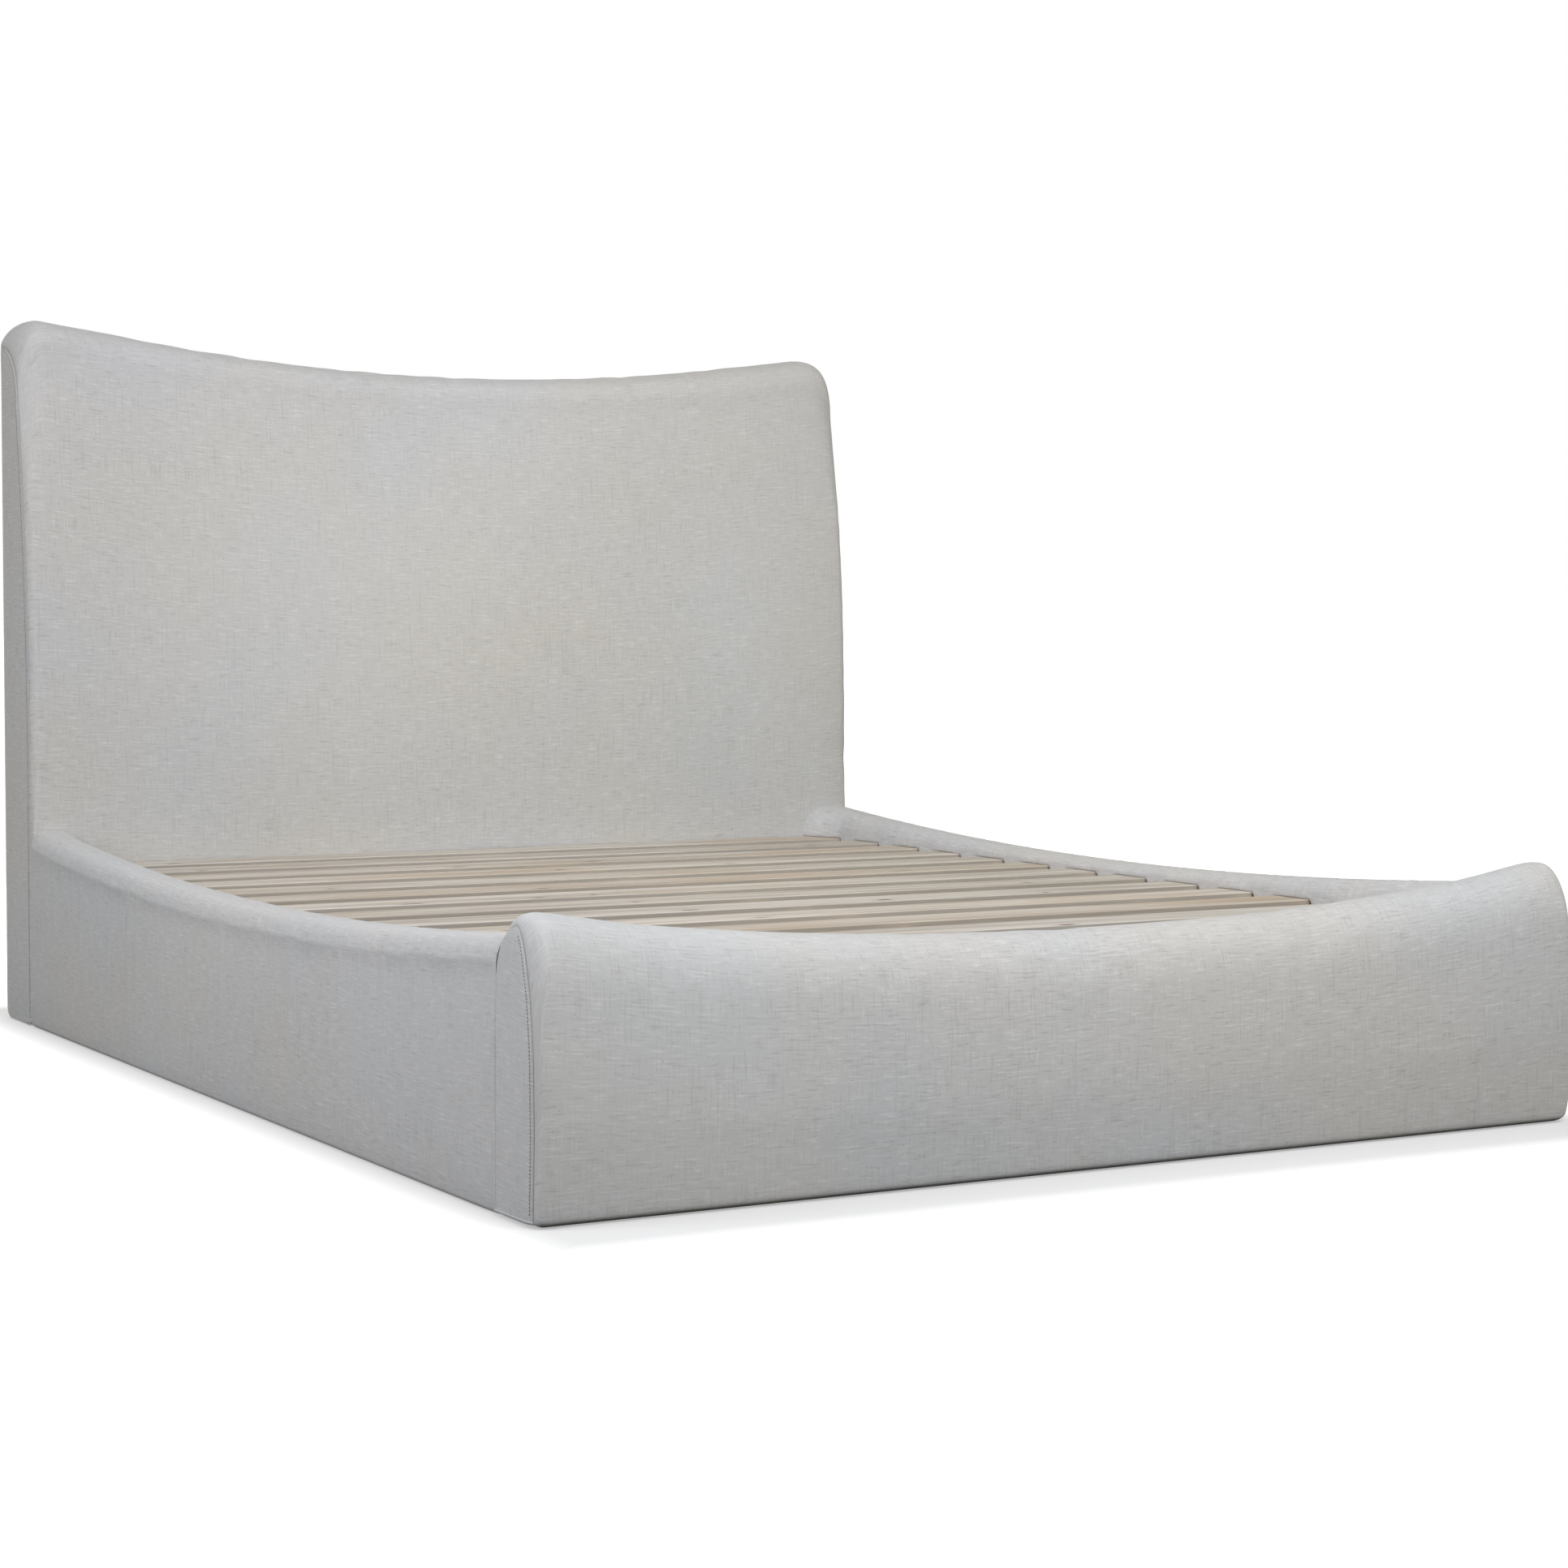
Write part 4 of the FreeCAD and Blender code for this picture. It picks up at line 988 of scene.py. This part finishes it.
def slat_mask(y):
    """1 over a slat, 0 between slats, with short soft steps."""
    best = 0.0
    for low, high in SLAT_SPANS.values():
        best = max(best, smooth(y, low - 0.016, low + 0.001) * (1 - smooth(y, high - 0.001, high + 0.016)))
    return best


def rail_top(y):
    share = (y - RAIL_MIDDLE) / RAIL_HALF_LENGTH
    return RAIL_TOP_MIDDLE + RAIL_TOP_RISE * share * share


def rail_inner(y):
    """Inner edge of the padding at the height of the slat tops: it swells where it meets the headboard."""
    share = max(0.0, 1 - (RAIL_HEAD_END - y) / RAIL_PUFF_REACH)
    return RAIL_INNER - RAIL_PUFF * (0.55 * share + 0.45 * smooth(share, 0.0, 1.0))


def rail_lip(inner, mask):
    """Points from the inner edge down to the step: tucked over a slat, bulging a little between slats."""
    rest = DECK_TOP + 0.0003
    tucked = ((inner + 0.0004, rest + 0.0020), (inner + 0.0014, rest + 0.0006), (inner + 0.0030, rest),
              (RAIL_STEP_X - 0.004, rest), (RAIL_STEP_X, rest - 0.003))
    free = ((inner - 0.6 * RAIL_BULGE, rest - 0.0015), (inner - RAIL_BULGE, rest - 0.0080),
            (inner - 0.5 * RAIL_BULGE, rest - 0.0150), (RAIL_STEP_X - 0.006, LIP_BOTTOM),
            (RAIL_STEP_X, LIP_BOTTOM - 0.003))
    return [(a[0] * mask + b[0] * (1 - mask), a[1] * mask + b[1] * (1 - mask)) for a, b in zip(tucked, free)]


def rail_profile(y):
    """Closed section of the right rail at y: (x, z) from the bottom of its outer face round to the inner face."""
    top = rail_top(y)
    inner = rail_inner(y)
    outer = RAIL_OUTER - RAIL_END_EASE * (1 - smooth(y - RAIL_FOOT_END, 0.0, 0.06))
    low, corner = RAIL_FLOOR_GAP, RAIL_HEM_RADIUS
    points = []
    for i in range(5):
        angle = math.radians(22.5 * i)
        points.append((outer - corner * (1 - math.sin(angle)), low + corner * (1 - math.cos(angle))))
    face_top = top - RAIL_ROLL_HEIGHT
    for i in range(1, 13):
        share = i / 12
        points.append((outer + 0.0015 * math.sin(math.pi * share), low + corner + (face_top - low - corner) * share))
    roll = resample(super_quarter(RAIL_ROLL_WIDTH, RAIL_ROLL_HEIGHT, 2.2), 12)
    points += [(outer - across, face_top + up) for across, up in roll[1:]]
    level = outer - RAIL_ROLL_WIDTH
    points += [(level + (RAIL_LEVEL_END - level) * k / 4, top) for k in (1, 2, 3)]
    edge = DECK_TOP + RAIL_EDGE_RISE
    fall = super_quarter(RAIL_LEVEL_END - inner, top - edge, 1.9)
    points += [tuple(p) for p in resample([(inner + across, edge + up) for across, up in fall[::-1]], 14)]
    lip = rail_lip(inner, slat_mask(y))
    points += lip
    start = lip[-1][1]
    points += [(RAIL_STEP_X, start + (low + 0.004 - start) * k / 8) for k in range(1, 9)]
    points += [(RAIL_STEP_X + 0.004, low), (RAIL_STEP_X + 0.022, low), (RAIL_STEP_X + 0.040, low)]
    return np.array(points)


RAIL_END_LENGTH = 0.004       # the sections before and after it are RAIL_ENDS


def rail_stations():
    """Places along a rail: close together near its ends and at the edges of the slats."""
    first, last = RAIL_FOOT_END + RAIL_END_LENGTH, RAIL_HEAD_END - RAIL_END_LENGTH
    places = {first + (RAIL_HEAD_END - RAIL_FOOT_END - 2 * RAIL_END_LENGTH) * k / 100 for k in range(101)}
    for low, high in SLAT_SPANS.values():
        for shift in (-0.016, -0.011, -0.006, -0.001):
            places |= {low + shift, high - shift}
    kept = []
    for y in sorted(p for p in places if first <= p <= last):
        if not kept or y - kept[-1] > 0.003:
            kept.append(y)
    return kept


def make_rail(side, name, linen):
    sections = [(RAIL_FOOT_END + step, inset) for step, inset in RAIL_ENDS]
    sections += [(y, 0.0) for y in rail_stations()]
    sections += [(RAIL_HEAD_END - step, inset) for step, inset in reversed(RAIL_ENDS)]
    rows = []
    for y, inset in sections:
        profile = rail_profile(y)
        if inset:
            offset = profile - (RAIL_CENTRE_X, rail_top(y) / 2)
            profile = profile - offset / np.linalg.norm(offset, axis=1)[:, None] * inset
        rows.append(np.stack([side * profile[:, 0], np.full(len(profile), y), profile[:, 1]], axis=1))
    grid = np.stack(rows, axis=1)
    rows, columns = grid.shape[:2]
    piece = build_object("%s_rail_wrap" % name, grid, cloth_positions(grid, 21.0 + 2 * side), linen, closed_rows=True)
    close_ends(piece, rows, columns)
    if side > 0:
        piece.data.flip_normals()
    still = list(range(RAIL_HEM_ROWS)) + list(range(RAIL_SOFT_ROWS, rows))
    settle_cloth(piece, held_share((rows, columns), still, (0, columns - 1), fade=4), RAIL_SETTLE)
    shade_smooth(piece)
    set_up_piece(piece, ("%s_rail_cover" % name, "%s_rail_foam" % name))


def close_ends(piece, rows, columns):
    """Close a rail's two ends with flat faces."""
    edit = bmesh.new()
    edit.from_mesh(piece.data)
    edit.verts.ensure_lookup_table()
    for column in (0, columns - 1):
        ring = [edit.verts[row * columns + column] for row in range(rows)]
        edit.faces.new(ring if column else ring[::-1])
    edit.to_mesh(piece.data)
    edit.free()


# ---------------------------------------------------------------- wood and metal pieces
def dress_cad_nodes():
    """Give every CAD node that shows its procedural material; slats differ in tone and knots."""
    random.seed(7)
    materials = {
        "plywood": plywood_material(),
        "frame_timber": wood_material("raw_pine", (0.62, 0.47, 0.30), (0.44, 0.30, 0.17), 3.0),
        "plated_steel": zinc_material(),
        "painted_steel": powder_coat_material(),
        "pad_plastic": nylon_material(),
    }
    upright = wood_material("raw_pine_upright", (0.62, 0.47, 0.30), (0.44, 0.30, 0.17), 5.0, "Z")
    lengthways = wood_material("raw_pine_lengthways", (0.60, 0.46, 0.30), (0.43, 0.30, 0.18), 8.0, "Y")
    for row in frame["record"]["subparts"]:
        node, slot = row["node"], row["material_slot"]
        if slot == "slat_timber":
            material = slat_material(node)
        elif node.endswith(("_post", "_leg")):
            material = upright
        elif node.endswith(("_board", "_ledger", "_beam")):
            material = lengthways
        elif slot in materials:
            material = materials[slot]
        else:
            continue
        slots = frame["nodes"][node].data.materials
        slots.clear()
        slots.append(material)


KNOT_HEARTS = ((0.10, 0.07, 0.05), (0.20, 0.10, 0.06), (0.16, 0.12, 0.09))
# darkening of the slats' upright faces: partly side-grain colour, partly painted shade in the gaps between slats
SIDE_GRAIN_AND_GAP_SHADE = 0.72


def slat_material(node):
    """Pale poplar with its own tone, grain and one to three knots near its foot-side edge."""
    number = int(node[-2:])
    low = SLAT_SPANS[node][0]
    pale = random.uniform(-0.03, 0.03)
    warm = random.uniform(0.0, 0.05)
    light = (0.61 + pale, 0.575 + pale - warm * 0.5, 0.525 + pale - warm)
    dark = (0.46 + pale, 0.420 + pale - warm * 0.5, 0.370 + pale - warm)
    knots = []
    for _ in range(random.choice((1, 2, 2, 3))):
        x = random.uniform(-0.75, 0.75)
        y = random.uniform(low + 0.004, low + 0.03)
        heart = random.choice(KNOT_HEARTS)
        knots.append((x, y, random.uniform(0.006, 0.022), random.uniform(0.0025, 0.005), heart))
    return wood_material("poplar_%02d" % number, light, dark, 10.0 + number * 1.7, "X", knots, SIDE_GRAIN_AND_GAP_SHADE)


# ---------------------------------------------------------------- build
scene.view_settings.view_transform = "Standard"
scene.view_settings.look = "None"
make_camera()
make_world()
make_floor()
for light in LIGHTS:
    make_light(*light)

linen = linen_material()
thread = thread_material()
make_headboard(linen, thread)
make_footboard(linen, thread)
make_rail(-1, "left", linen)
make_rail(1, "right", linen)
dress_cad_nodes()
